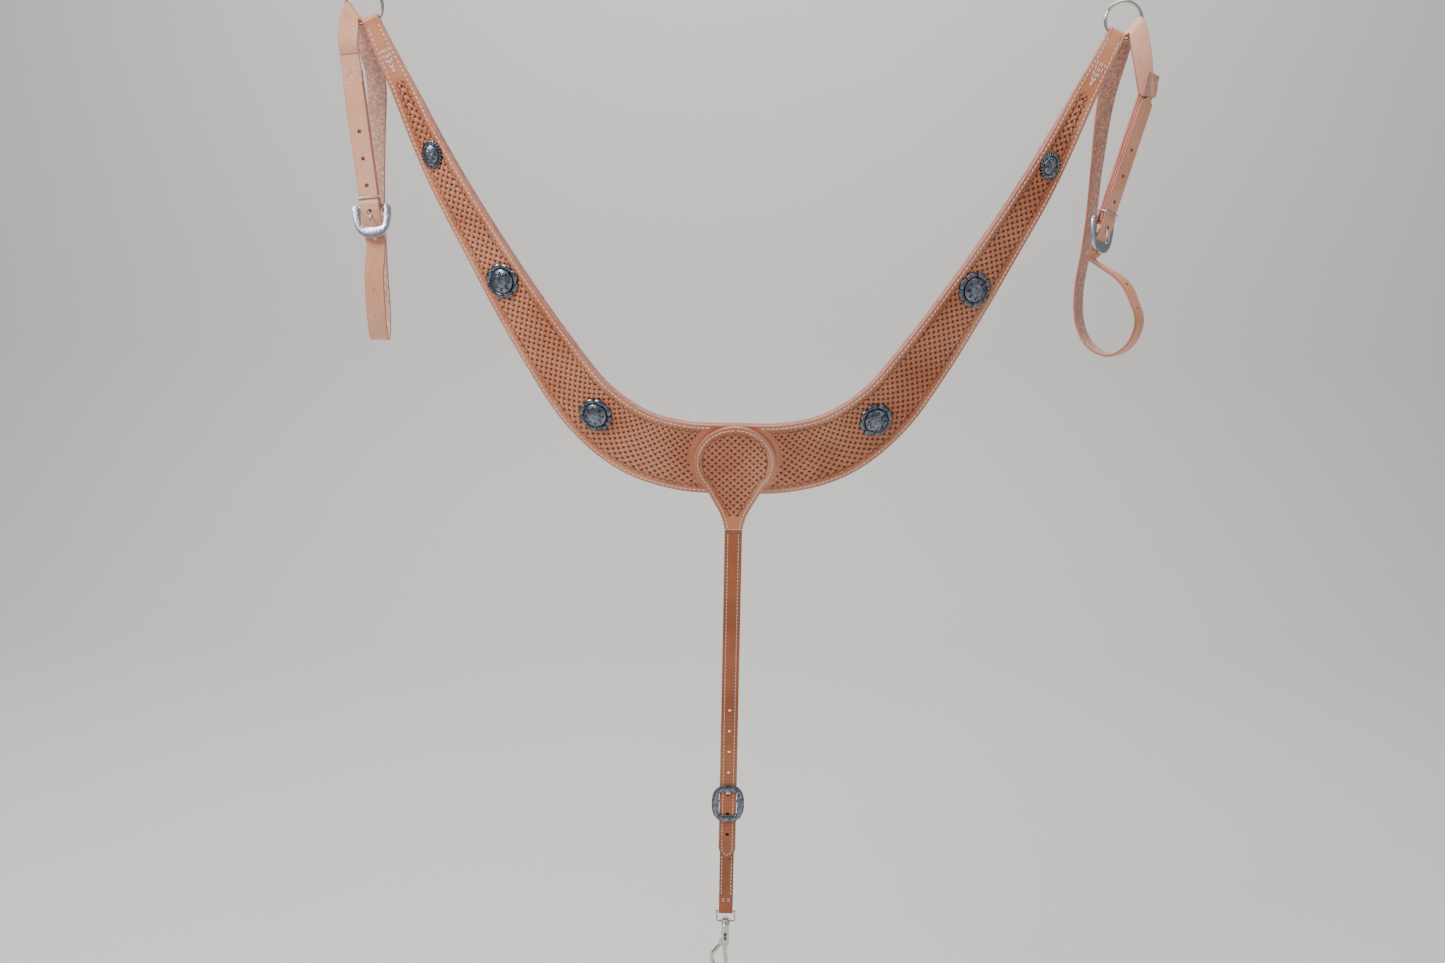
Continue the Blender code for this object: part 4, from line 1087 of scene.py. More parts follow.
@dataclass(frozen=True)
class BasketStamp:
    """Basket stamping inside a scalloped border, as depth and painted shade over a strap."""

    cell: float = 0.0057
    angle: float = math.radians(45.0)
    depth: float = 0.0015
    line_at: float = 0.0068
    field_at: float = 0.0080
    scallop: float = 0.0070
    stitch_at: float = 0.0037
    wave: float = 0.0026
    moon_reach: float = 0.0030
    line_width: float = 0.00042
    line_depth: float = 0.0005
    channel_width: float = 0.0008
    channel_depth: float = 0.00028
    stitch_pitch: float = 0.0049

    def weave(self, u: Array, v: Array) -> Array:
        """Depth share of the weave: 0 on top of a strand and 1 between strands.

        Args:
            u: run along the strap.
            v: distance from its middle.

        Returns:
            The depth share.
        """
        c, s = math.cos(self.angle), math.sin(self.angle)
        p = (u * c + v * s) / self.cell
        q = (-u * s + v * c) / self.cell
        i, j = np.floor(p), np.floor(q)
        x, y = p - i - 0.5, q - j - 0.5
        over = (np.mod(i + j, 2) < 0.5).astype(float)
        length = np.where(over > 0, x, y)
        width = np.where(over > 0, y, x)
        strand = np.clip((0.33 - np.abs(width)) / 0.10, 0.0, 1.0)
        strand = strand * strand * (3 - 2 * strand)
        hump = 1.0 - 0.8 * np.abs(length) ** 2
        groove = 0.16 * np.exp(-((width / 0.05) ** 2))
        neighbour = np.clip((0.33 - np.abs(length)) / 0.10, 0.0, 1.0)
        dive = 0.10 + 0.70 * np.clip((np.abs(width) - 0.25) / 0.25, 0.0, 1.0)
        height = strand * (hump - groove) + (1 - strand) * neighbour * dive
        return np.clip(1.0 - height, 0.0, 1.0)

    def over(self, u: Array, v: Array, edge: Array, tooled: Array) -> tuple[Array, Array]:
        """Depth and painted shade of the whole tooling.

        Args:
            u: run along the strap.
            v: distance from its middle.
            edge: distance from its edge.
            tooled: 1 where the leather is stamped and 0 where it is plain.

        Returns:
            Depth in metres, and painted shade as darkness from 0 to 1.
        """
        wave = np.abs(np.cos(math.pi * u / self.scallop))
        start = self.field_at + self.wave * wave
        inside = np.clip((edge - start) / 0.0006, 0.0, 1.0) * tooled
        cut = self.weave(u, v) * inside
        border = np.clip((edge - self.line_at - 0.0004) / 0.0004, 0, 1) * tooled * (1 - inside)
        moon = np.clip(1.0 - (start - edge) / self.moon_reach, 0.0, 1.0)
        fan = 0.75 + 0.25 * np.cos(math.pi * u / self.scallop * 6.0) ** 2
        cut = np.maximum(cut, border * moon * fan)
        line = np.exp(-(((edge - self.line_at) / self.line_width) ** 2)) * tooled
        channel = np.exp(-(((edge - self.stitch_at) / self.channel_width) ** 2))
        depth = self.depth * cut + self.line_depth * line + self.channel_depth * channel
        hole = np.abs(np.mod(u / self.stitch_pitch, 1.0) - 0.5) * 2
        # Painted shade: darker in the cuts, along the border line and in the stitch channel, most at each
        # stitch hole.
        dark = np.maximum.reduce((cut, line * 0.75, channel * (0.35 + 0.40 * hole**4)))
        return depth, dark


# ---------------------------------------------------------------- collar


@dataclass
class Collar:
    """The dished and tooled collar: outer leather folded round both rings, lining and thread."""

    half_span: float = 0.3772
    rise: float = 0.4400
    centre_width: float = 0.0786
    end_width: float = 0.0180
    face: float = 0.0036
    lining: float = 0.0032
    return_length: float = 0.0600
    setback: float = 0.0065
    dish: float = math.radians(22.0)
    fade: tuple = (0.855, 0.931)
    ring_inner: float = 0.0170
    ring_wire: float = 0.0016
    tooled_end: float = 0.0640
    head_radius: float = 0.0435
    arm: tuple = (
        (0.000, 0.0000, 1.000),
        (0.150, 0.0045, 0.985),
        (0.289, 0.0405, 0.920),
        (0.414, 0.1227, 0.800),
        (0.518, 0.2414, 0.683),
        (0.616, 0.3723, 0.554),
        (0.714, 0.5139, 0.419),
        (0.813, 0.6655, 0.307),
        (0.916, 0.8500, 0.119),
        (1.000, 1.0000, 0.000),
    )
    stamp: BasketStamp = field(default_factory=BasketStamp)
    thread: Stitching = field(default_factory=Stitching)

    def __post_init__(self) -> None:
        """Works out the places that the other pieces share."""
        self.slot = max(self.lining / 2, self.ring_wire) + GAP
        self.middle = self.slot + self.face / 2
        self.front = self.slot + self.face
        before, last = self.arm[-2], self.arm[-1]
        run = (last[0] - before[0]) * self.half_span
        rise = (last[1] - before[1]) * self.rise
        self.end = unit(np.array((run, 0.0, rise)))
        top = math.sqrt(self.ring_inner**2 - (self.end_width / 2) ** 2) - GAP
        self.to_ring = top + self.slot
        fold_z = -self.ring_inner - self.to_ring * self.end[2]
        self.fold = np.array((self.half_span, 0.0, fold_z))
        self.ring = self.fold + self.end * self.to_ring
        self.low = fold_z - self.rise
        self.bottom = self.low - self.centre_width / 2

    def frames(self, trim: float, per_span: int = 40) -> Lay:
        """Middle surface from the left end to the right end.

        Args:
            trim: how far below the folds it stops.
            per_span: samples between two shape points.

        Returns:
            The sections, with the grain direction out of the front.
        """
        rows = []
        for run, rise, taper in self.arm:
            width = self.end_width + (self.centre_width - self.end_width) * taper
            rows.append([run * self.half_span, self.low + rise * self.rise, width / 2])
        last = self.fold - self.end * trim
        rows[-1][:2] = [last[0], last[2]]
        left = [[-x, z, w] for x, z, w in rows[:0:-1]]
        line = smooth_line(left + rows, per_span)
        pos = np.column_stack((line[:, 0], np.zeros(len(line)), line[:, 1]))
        ahead = unit(np.gradient(pos, axis=0))
        flat = np.column_stack((-ahead[:, 2], np.zeros(len(line)), ahead[:, 0]))
        share = np.abs(line[:, 0]) / self.half_span
        part = np.clip((self.fade[1] - share) / (self.fade[1] - self.fade[0]), 0.0, 1.0)
        dish = (self.dish * part * part * (3 - 2 * part))[:, None]
        inward = flat * np.cos(dish) - BACK * np.sin(dish)
        front = -BACK * np.cos(dish) - flat * np.sin(dish)
        return Lay(pos, inward, front, line[:, 2] / np.cos(dish[:, 0]))

    def face_lay(self) -> Lay:
        """Outer leather from one turned-back end, round both folds, to the other.

        Returns:
            The sections.
        """
        middle = self.frames(0.0).spaced(0.00092).shifted(self.middle)
        parts = []
        for side in (-1, 1):
            ahead = self.end * (side, 1, 1)
            centre = self.fold * (side, 1, 1)
            across = np.array((-ahead[2], 0.0, ahead[0])) * side
            turn = np.linspace(0.0, math.pi, 22)[1:]
            normal = -np.outer(np.cos(turn), BACK) + np.outer(np.sin(turn), ahead)
            arc_points = centre + normal * self.middle
            lengths = np.linspace(0.001, self.return_length, 40)
            back = centre + BACK * self.middle - np.outer(lengths, ahead)
            pos = np.vstack((arc_points, back))
            normals = np.vstack((normal, np.tile(BACK, (len(lengths), 1))))
            half = np.concatenate((np.full(len(turn), 0.009), 0.009 + 0.02 * lengths))
            part = Lay(pos, np.tile(across, (len(pos), 1)), normals, half)
            if side < 0:
                part = Lay(part.pos[::-1], part.across[::-1], part.normal[::-1], part.half[::-1])
            parts.append(part)
        left, right = parts
        return Lay(
            np.vstack((left.pos, middle.pos, right.pos)),
            np.vstack((left.across, middle.across, right.across)),
            np.vstack((left.normal, middle.normal, right.normal)),
            np.concatenate((left.half, middle.half, right.half)),
        )

    def tooling(self, lay: Lay) -> Relief:
        """Relief of the outer leather.

        Args:
            lay: its sections.

        Returns:
            The function that the ply reads.
        """
        run = lay.run
        middle = run[-1] / 2
        reach = middle - self.return_length - math.pi * self.middle - self.tooled_end
        x_of = lay.pos[:, 0]
        z_of = lay.pos[:, 2]

        def relief(u: Array, v: Array, edge: Array) -> tuple[Array, Array]:
            """Depth and painted shade over the outer leather.

            Args:
                u: run along the strap.
                v: distance from its middle.
                edge: distance from its edge.

            Returns:
                Depth in metres and painted shade.
            """
            from_middle = np.abs(u - middle)
            tooled = np.clip((reach - from_middle - np.abs(v) * 0.3) / 0.0015, 0.0, 1.0)
            x = x_of[:, None] + lay.across[:, 0:1] * v
            z = z_of[:, None] + lay.across[:, 2:3] * v
            from_head = np.hypot(x, (z - self.low) / math.cos(self.dish)) - self.head_radius
            clear = np.clip((from_head - 0.0055) / 0.0008, 0.0, 1.0)
            depth, dark = self.stamp.over(from_middle, v, edge, tooled * clear)
            ring_line = np.exp(-(((from_head - 0.0050) / 0.0005) ** 2))
            near_end = np.exp(-(((reach - from_middle) / 0.0005) ** 2)) * (edge > 0.005)
            depth = depth + 0.0004 * np.maximum(ring_line * (edge > 0.004), near_end)
            # Painted shade along the tooled ring round the head and the line where the tooling ends.
            dark = np.maximum(dark, 0.7 * np.maximum(ring_line * (edge > 0.004), near_end))
            return depth, dark

        return relief

    def stitch_rows(self) -> list[tuple[Array, Array]]:
        """Lines of thread along both edges and the two V rows at each ring.

        Returns:
            Line and grain directions of each row.
        """
        lay = self.frames(0.0).spaced(0.003).shifted(self.front)
        rows = []
        for sign in (-1, 1):
            offset = sign * (lay.half - self.stamp.stitch_at)
            line = lay.pos + lay.across * offset[:, None] - lay.normal * 0.00025
            head = np.hypot(line[:, 0], (line[:, 2] - self.low) / math.cos(self.dish))
            keep = head > self.head_radius + 0.0015
            cut = len(line) // 2
            for part in (slice(2, cut), slice(cut, len(line) - 2)):
                rows.append((line[part][keep[part]], lay.normal[part][keep[part]]))
        middle = lay.run[-1] / 2
        for side in (-1, 1):
            for inset in (0.0034, 0.0068):
                for edge in (-1, 1):
                    reach = np.linspace(0.030, self.tooled_end - 0.004 - inset, 12)
                    share = (reach - 0.030) / (self.tooled_end - 0.004 - inset - 0.030)
                    distances = middle + side * (middle - reach)
                    half = np.interp(distances, lay.run, lay.half)
                    v = edge * (half - 0.0024 - inset) * (1 - share)
                    line = np.array([lay.at(d, w, -0.0001) for d, w in zip(distances, v)])
                    rows.append((line, np.tile(-BACK, (len(line), 1))))
        return rows

    def build(self, wardrobe: Wardrobe) -> None:
        """Meshes, dresses and attaches the collar.

        Args:
            wardrobe: the finishes.
        """
        lay = self.face_lay()
        half = self.face / 2
        face = ply("collar outer leather", lay, (-half, half), 104, self.tooling(lay), 0.0013)
        wardrobe.dress(face, RUSSET)
        attach(face, "collar", "tooled_leather", "collar_face")
        lining_lay = self.frames(self.setback).spaced(0.004)
        half = self.lining / 2
        backing = ply("collar lining", mirror_sides(lining_lay), (-half, half), 24, rim=0.0012)
        wardrobe.dress(backing, LINING)
        attach(backing, "collar", "lining_leather", "collar_lining")
        sewn = self.thread.sew("collar stitching", self.stitch_rows())
        wardrobe.dress(sewn, THREAD)
        attach(sewn, "collar", "tooled_leather")
        counts = len(face.data.polygons), len(sewn.data.polygons)
        LOG.info("collar: %d faces, and %d in its stitches", *counts)


def mirror_sides(lay: Lay) -> Lay:
    """The same strap with its grain side turned to the back.

    Args:
        lay: the strap's sections.

    Returns:
        The turned strap.
    """
    return Lay(lay.pos, -lay.across, -lay.normal, lay.half)


def attach(obj: bpy.types.Object, body: str, slot: str, *nodes: str) -> None:
    """Ties a piece to the frame.

    Args:
        obj: the piece.
        body: the CAD body that it moves with.
        slot: the record's material slot; not used.
        nodes: CAD nodes that it stands for.
    """
    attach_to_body(obj, body)
    if nodes:
        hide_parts(*nodes)


# ---------------------------------------------------------------- conchos


@dataclass
class Concho:
    """A domed silver button with a scalloped or roped rim and an engraved flower."""

    name: str
    node: str
    pos: Array
    front: Array
    radii: tuple[float, float]
    height: float
    lobes: int

    def relief(self, r: Array, turn: Array) -> Array:
        """Engraving from 0 to 1 at a share of the radius and an angle.

        Args:
            r: share of the radius.
            turn: angle round the button.

        Returns:
            The engraving, from 0 to 1.
        """
        petal = np.abs(np.cos(turn * 4.0))
        flower = np.clip(1 - np.abs(r - 0.10 - 0.42 * petal) / 0.035, 0, 1) * (r < 0.60)
        vein = np.clip(1 - np.abs(np.sin(turn * 4.0)) * r / 0.030, 0, 1) * (r < 0.50) * (r > 0.08)
        scroll = np.sin(turn * 16.0 + 9.0 * np.sin(r * 22.0)) * np.sin(r * 46.0 + 2.0 * np.cos(turn * 8))
        leaves = np.clip((scroll - 0.25) / 0.3, 0, 1) * (r > 0.34) * (r < 0.62) * 0.8
        step = np.clip(1 - np.abs(r - 0.68) / 0.040, 0, 1)
        if self.lobes > 12:
            rope = np.clip(np.cos(turn * self.lobes + r * 14.0) * -1.5, 0, 1) * (r > 0.80)
            return np.maximum.reduce((flower, vein, leaves, step, rope))
        lobe = np.abs(np.sin(turn * self.lobes / 2))
        arch = np.clip(1 - np.abs(r - 0.74 - 0.15 * lobe) / 0.022, 0, 1)
        inner = np.clip(1 - np.abs(r - 0.70 - 0.10 * lobe**2) / 0.02, 0, 1) * (r > 0.7)
        ticks = np.clip(np.cos(turn * 88.0) * 2.0, 0, 1) * (r > 0.93) * 0.7
        split = np.clip(1 - lobe * 5.0, 0, 1) * (r > 0.72)
        return np.maximum.reduce((flower, vein, leaves, step, arch, inner, ticks, split))

    def build(self, wardrobe: Wardrobe) -> None:
        """Meshes, dresses and attaches the concho.

        Args:
            wardrobe: the finishes.
        """
        rings, steps = 64, 192
        share = np.linspace(0.0, 1.0, rings)[1:]
        turn = np.linspace(0.0, 2 * math.pi, steps, endpoint=False)
        r, t = np.meshgrid(share, turn, indexing="ij")
        knots = (0.0, 0.16, 0.30, 0.42, 0.52, 0.60, 0.66, 0.70, 0.76, 0.90, 0.97, 1.0)
        heights = (1.0, 0.98, 0.91, 0.81, 0.68, 0.52, 0.36, 0.24, 0.28, 0.28, 0.20, 0.08)
        h = np.interp(r, knots, heights) * self.height
        if self.lobes <= 12:
            swell = np.sin(math.pi * np.clip((r - 0.70) / 0.30, 0, 1))
            h = h + 0.0010 * swell * np.abs(np.sin(t * self.lobes / 2)) ** 0.8
        cut = self.relief(r, t)
        h = h - cut * 0.00028
        outer = np.clip(r - 0.70, 0, 1) / 0.30
        waist = 0.115 if self.lobes <= 12 else 0.05
        scallop = 1 - waist * outer * (1 - np.abs(np.sin(self.lobes * t / 2)) ** 0.7)
        tall = 1 + (self.radii[1] / self.radii[0] - 1) * np.clip((r - 0.25) / 0.5, 0, 1)
        x = self.radii[0] * r * scallop * np.cos(t)
        y = self.radii[0] * r * scallop * np.sin(t) * tall
        level = unit(np.cross(UP, self.front))
        upward = np.cross(self.front, level)

        def placed(px: Array, py: Array, pz: Array) -> Array:
            """Points of the button put on the collar.

            Args:
                px: across.
                py: up the collar.
                pz: out of its front.

            Returns:
                One row for each point.
            """
            flat = px[..., None] * level + py[..., None] * upward
            return (self.pos + flat + pz[..., None] * self.front).reshape(-1, 3)

        top = placed(x, y, h)
        under = placed(x[-1] * 0.985, y[-1] * 0.985, np.zeros(steps))
        foot = placed(x[-1] * 0.14, y[-1] * 0.14, np.zeros(steps))
        post = placed(x[-1] * 0.14, y[-1] * 0.14, np.full(steps, -0.0050))
        crown = placed(np.zeros(1), np.zeros(1), np.array([self.height]))
        verts = np.vstack((top, under, foot, post, crown))
        faces = []
        for i in range(rings + 1):
            a, b = i * steps, (i + 1) * steps
            faces += [(a + j, b + j, b + (j + 1) % steps, a + (j + 1) % steps) for j in range(steps)]
        heart = len(verts) - 1
        faces += [(heart, j, (j + 1) % steps) for j in range(steps)]
        faces.append(tuple(reversed(range(heart - steps, heart))))
        obj = new_mesh(self.name, verts, faces)
        marks = np.zeros((len(verts), 3))
        # Painted shade: the under rim, foot and post are dark; the engraving's darkness is the real
        # blacking.
        dark = np.concatenate((cut.ravel(), np.full(3 * steps, 0.8), np.zeros(1)))
        write_marks(obj, marks, np.ones(len(verts)), dark)
        wardrobe.dress(obj, BLACKED_SILVER)
        attach(obj, "collar", "antiqued_silver", self.node)


@dataclass
class ConchoSet:
    """The three conchos of each arm."""

    collar: Collar
    large: tuple = (0.0190, 0.0190)
    small: tuple = (0.0120, 0.0144)
    large_height: float = 0.0062
    small_height: float = 0.0050
    places: tuple = (("upper", 0.835), ("middle", 0.648), ("lower", 0.392))

    def build(self, wardrobe: Wardrobe) -> None:
        """Sets every concho on the collar.

        Args:
            wardrobe: the finishes.
        """
        lay = self.collar.frames(0.0)
        for side in Side:
            for level, share in self.places:
                x = share * self.collar.half_span * side.value
                index = int(np.argmin(np.abs(lay.pos[:, 0] - x)))
                front = unit(lay.normal[index])
                seat = lay.pos[index] + front * (self.collar.front + GAP)
                small = level == "upper"
                node = f"concho_{side.label}_{level}"
                Concho(
                    f"{level} concho {side.label}",
                    node,
                    seat,
                    front,
                    self.small if small else self.large,
                    self.small_height if small else self.large_height,
                    24 if small else 8,
                ).build(wardrobe)
        LOG.info("conchos: %d", 2 * len(self.places))


# ---------------------------------------------------------------- tug straps


@dataclass
class TugStrap:
    """An adjustable strap in a ring, with its horseshoe buckle, tongue and wire keeper."""

    side: Side
    ring: Array
    arm_end: Array
    bar_from_ring: tuple
    lean: tuple
    facing: float
    up_route: tuple
    down_route: tuple
    width: float = 0.0200
    thickness: float = 0.0026
    turnback: float = 0.1360
    billet: float = 0.1300
    hole_radius: float = 0.0021
    hole_pitch: float = 0.0270
    holes: tuple[int, int] = (3, 4)
    bar_radius: float = 0.0016
    ring_inner: float = 0.0170
    ring_run: float = 0.0008
    end_width: float = 0.0180
    face: float = 0.0036
    keeper_height: float = 0.0095
    keeper_wire: float = 0.0009
    buckle_tilt: float = math.radians(15.0)

    def __post_init__(self) -> None:
        """Works out the axes of the buckled stack and the crossing of the ring."""
        self.up = unit(np.array(self.lean, float))
        turn = math.radians(self.facing)
        flat = np.array((math.cos(turn), math.sin(turn), 0.0))
        self.across = unit(flat - self.up * np.dot(flat, self.up))
        self.front = np.cross(self.across, self.up)
        self.bar = self.ring + np.array(self.bar_from_ring)
        half = self.thickness / 2
        self.to_strap = self.bar_radius + GAP + half
        self.ply_out = half + GAP / 2
        self.billet_out = self.ply_out + self.thickness + GAP
        self.billet_bar = self.to_strap + self.thickness + GAP
        top = math.sqrt(self.ring_inner**2 - (self.end_width / 2) ** 2) - GAP
        fold_corner = math.atan2(self.end_width / 2, top - self.face)
        chord = math.sqrt(self.ring_inner**2 - (self.width / 2) ** 2) - self.ring_run
        strap_corner = math.atan2(self.width / 2, chord - self.thickness)
        lean = math.atan2(self.arm_end[0], self.arm_end[2])
        angle = strap_corner + fold_corner + math.radians(2.0) - lean
        sign = self.side.value
        away = np.array((sign * math.sin(angle), 0.0, -math.cos(angle)))
        self.over = self.ring + away * (chord - half)
        self.over_across = np.array((math.cos(angle), 0.0, sign * math.sin(angle)))

    def at(self, height: float, out: float) -> Array:
        """Point above the hinge bar along the stack and out of its front.

        Args:
            height: height above the bar.
            out: distance out of the stack's front.

        Returns:
            The point.
        """
        return self.bar + self.up * height + self.front * out

    def rows(self) -> Array:
        """Sections of the whole strap: middle, width direction and half width.

        Returns:
            One row for each section.
        """
        half = self.width / 2

        def flat(height: float, out: float, share: float = 1.0) -> list:
            """One section of the stack.

            Args:
                height: height above the bar.
                out: distance out of the stack's front.
                share: share of the full width.

            Returns:
                Its point, width direction and half width.
            """
            return [*self.at(height, out), *self.across, half * share]

        rows = [flat(h, -self.ply_out) for h in (self.turnback, 0.07, 0.016, 0.0085)]
        for point in arc(self.bar, -self.front, -self.up, self.to_strap, (-14.0, 194.0), 10):
            rows.append([*point, *self.across, half])
        rows += [flat(h, self.ply_out) for h in (0.0085, 0.016, 0.07)]
        knots = self.free_knots()
        line = smooth_line(knots, 4)[4:]
        rows += [[*k[:3], *unit(k[3:]), half] for k in line]
        rise = ((-0.0250, 0.0023), (-0.0205, 0.0026), (-0.0160, 0.0038), (-0.0115, 0.0050))
        rise += ((-0.0070, 0.0058), (-0.0035, 0.0063), (0.0, self.billet_bar), (0.0035, 0.0060))
        rows += [flat(*point) for point in rise]
        rows += [flat(h, self.billet_out) for h in (0.0085, 0.012, 0.02, 0.07)]
        shoulder = self.billet - 0.0100
        rows += [flat(shoulder, self.billet_out), flat(shoulder + 0.0040, self.billet_out, 0.78)]
        rows.append(flat(self.billet - 0.0020, self.billet_out, 0.36))
        rows.append(flat(self.billet, self.billet_out, 0.12))
        return np.array(rows)

    def free_knots(self) -> list:
        """Free run of the strap over the ring, down behind and round its bottom loop.

        Returns:
            One row for each point.
        """
        top = self.turnback + 0.012

        def routed(x: float, y: float, z: float, facing: float) -> list:
            """One listed point from the ring's centre.

            Args:
                x: across.
                y: towards the back.
                z: upwards.
                facing: turn of the strap, in degrees.

            Returns:
                The row.
            """
            turn = math.radians(facing)
            return [*(self.ring + (x, y, z)), math.cos(turn), math.sin(turn), 0.0]

        knots = [[*self.at(top - 0.02, self.ply_out), *self.across]]
        knots.append([*self.at(top, self.ply_out), *self.across])
        knots += [routed(*point) for point in reversed(self.up_route)]
        blend = self.over_across * 0.65 + RIGHT * 0.35
        sign = self.side.value
        knots.append([*(self.over + (sign * 0.0016, -0.0080, -0.0030)), *blend])
        knots.append([*self.over, *self.over_across])
        knots.append([*(self.over + (-sign * 0.0016, 0.0080, -0.0030)), *blend])
        knots += [routed(*point) for point in self.down_route]
        for height, out in ((-0.0400, 0.0018), (-0.0320, 0.0022)):
            knots.append([*self.at(height, out), *self.across])
        return knots

    def lay(self) -> Lay:
        """The strap's smooth sections.

        Returns:
            The sections.
        """
        rows = smooth_line(self.rows(), 5)
        pos, across = rows[:, :3], unit(rows[:, 3:6])
        normal = np.cross(across, unit(np.gradient(pos, axis=0)))
        return Lay(pos, across, unit(normal), rows[:, 6]).spaced(0.0009)

    def build(self, wardrobe: Wardrobe) -> None:
        """Meshes, dresses and attaches the strap and its metal.

        Args:
            wardrobe: the finishes.
        """
        label = self.side.label
        body = f"tug_{label}"
        lay = self.lay()
        half = self.thickness / 2

        def creased(u: Array, v: Array, edge: Array) -> tuple[Array, Array]:
            """A faint creased line along both edges, with painted shade in it.

            Args:
                u: run along the strap.
                v: distance from its middle.
                edge: distance from its edge.

            Returns:
                Depth in metres and painted shade.
            """
            line = np.exp(-(((edge - 0.0021) / 0.00035) ** 2))
            return 0.00014 * line, 0.16 * line

        strap = ply(f"tug strap {label}", lay, (-half, half), 30, creased, 0.0009)
        end = lay.run[-1]
        to_tongue = self.billet + 0.0068
        cutters = []
        for index in range(-self.holes[0], self.holes[1] + 1):
            distance = end - to_tongue - index * self.hole_pitch
            radius = 0.0030 if index == 0 else self.hole_radius
            middle = lay.at(distance, 0.0, 0.0)
            out = lay.at(distance, 0.0, 1.0) - middle
            cutters.append(tool_cylinder(middle, out, radius, self.thickness + 1.2 * GAP))
        cutters.append(
            tool_cylinder(self.bar, self.across, self.to_strap + half + GAP / 2, 0.0032)
        )
        punch(strap, cutters)
        wardrobe.dress(strap, PEACH)
        attach(strap, body, "tug_leather", f"tug_strap_{label}")
        self.build_buckle(wardrobe, body)
        self.build_wires(wardrobe)
        self.build_thread(wardrobe, body)
        LOG.info("tug strap %s: %d faces", label, len(strap.data.polygons))

    def build_buckle(self, wardrobe: Wardrobe, body: str) -> None:
        """Engraved horseshoe frame, crowned, with its hinge bar.

        Args:
            wardrobe: the finishes.
            body: the CAD body of the strap.
        """
        down = -self.up * math.cos(self.buckle_tilt) + self.front * math.sin(self.buckle_tilt)
        out = np.cross(self.across, -down)
        inner_half, inner_end = self.width / 2 + 0.0016, 0.0212
        steps, rings = 340, 34
        turn = np.linspace(-1.0, 1.0, steps)
        inner = self.horseshoe(turn, inner_half, inner_end, 9.0, -0.0022)
        outer = self.horseshoe(turn, 0.0204, 0.0324, 2.6, -0.0022)
        share = np.linspace(0.0, 1.0, rings)
        horn = np.clip((np.abs(turn) - 0.90) / 0.10, 0.0, 1.0)
        narrow = 0.35 + 0.65 * np.sqrt(1.0 - horn**2)
        spread = (0.5 + (share[None, :] - 0.5) * narrow[:, None])[..., None]
        plane = inner[:, None, :] * (1 - spread) + outer[:, None, :] * spread
        bow = np.sin(math.pi * share) ** 0.6
        t, s = np.meshgrid(turn, share, indexing="ij")
        cut = scrollwork(t * 6.0, s * 1.6) * (s > 0.16) * (s < 0.84)
        rim = np.clip(1 - np.abs(s - 0.10) / 0.035, 0, 1) + np.clip(1 - np.abs(s - 0.90) / 0.035, 0, 1)
        cut = np.maximum(cut * 0.8, rim * 0.7)
        high = 0.0006 + 0.0010 * bow[None, :] - 0.00022 * cut
        flat_points = self.bar + plane[..., 0:1] * self.across + plane[..., 1:2] * down
        top = flat_points + high[..., None] * out
        bottom = flat_points - 0.0012 * out
        frame = engraved_frame(f"tug buckle {self.side.label}", top, bottom, False)
        mark_plate(frame, cut, 0.25)
        wardrobe.dress(frame, BRIGHT_SILVER)
        attach(frame, body, "bright_silver", f"tug_buckle_{self.side.label}")
        reach = inner_half + 0.0020
        ends = [self.bar - self.across * reach, self.bar, self.bar + self.across * reach]
        bar = rod(f"tug buckle bar {self.side.label}", ends, self.bar_radius)
        wardrobe.dress(bar, NICKEL)
        attach(bar, body, "bright_silver")

    @staticmethod
    def horseshoe(turn: Array, half: float, low: float, power: float, top: float) -> Array:
        """Half-oval outline from one horn tip round to the other.

        Args:
            turn: -1 at one tip and 1 at the other.
            half: half width.
            low: lowest point below the bar.
            power: squareness.
            top: height of the horns, measured downwards.

        Returns:
            Across and down for each place.
        """
        angle = (turn + 1.0) * math.pi / 2
        c, s = -np.cos(angle), np.sin(angle)
        size = (np.abs(c) ** power + np.abs(s) ** power) ** (-1.0 / power)
        return np.column_stack((half * size * c, top + (low - top) * size * s))

    def build_wires(self, wardrobe: Wardrobe) -> None:
        """Cranked tongue and the wire keeper.

        Args:
            wardrobe: the finishes.
        """
        label = self.side.label
        eye = self.bar_radius + GAP + 0.0010
        points = list(arc(self.bar, self.front, self.up, eye, (272.0, -18.0), 26))
        shaft = ((0.0036, -0.0030), (0.0049, -0.0052), (0.0066, -0.0072), (0.0084, -0.0090))
        shaft += ((0.0095, -0.0112), (0.0101, -0.0152))
        tail = smooth_line([points[-2], points[-1], *[self.at(h, o) for o, h in shaft]], 5)
        line = np.vstack((np.array(points[:-2]), tail))
        tongue = rod(f"tug tongue {label}", line, 0.0010, sides=16)
        wardrobe.dress(tongue, BRIGHT_SILVER)
        attach(tongue, f"tug_tongue_{label}", "bright_silver", f"tug_tongue_{label}")
        play = self.keeper_wire + 0.0005
        half = self.width / 2 + play
        low = -self.ply_out - self.thickness / 2 - play
        high = self.billet_out + self.thickness / 2 + play
        corner = 0.0012
        centre = self.at(self.keeper_height, 0.0)
        loop = []
        for sign, level, start in ((1, high, 0), (-1, high, 90), (-1, low, 180), (1, low, 270)):
            inward = corner if level == low else -corner
            middle = centre + self.across * sign * (half - corner) + self.front * (level + inward)
            loop += list(arc(middle, self.across, self.front, corner, (start, start + 90), 6))
        keeper = rod(f"tug keeper {label}", loop, self.keeper_wire, closed=True)
        wardrobe.dress(keeper, NICKEL)
        attach(keeper, f"tug_keeper_{label}", "nickel", f"tug_keeper_{label}")

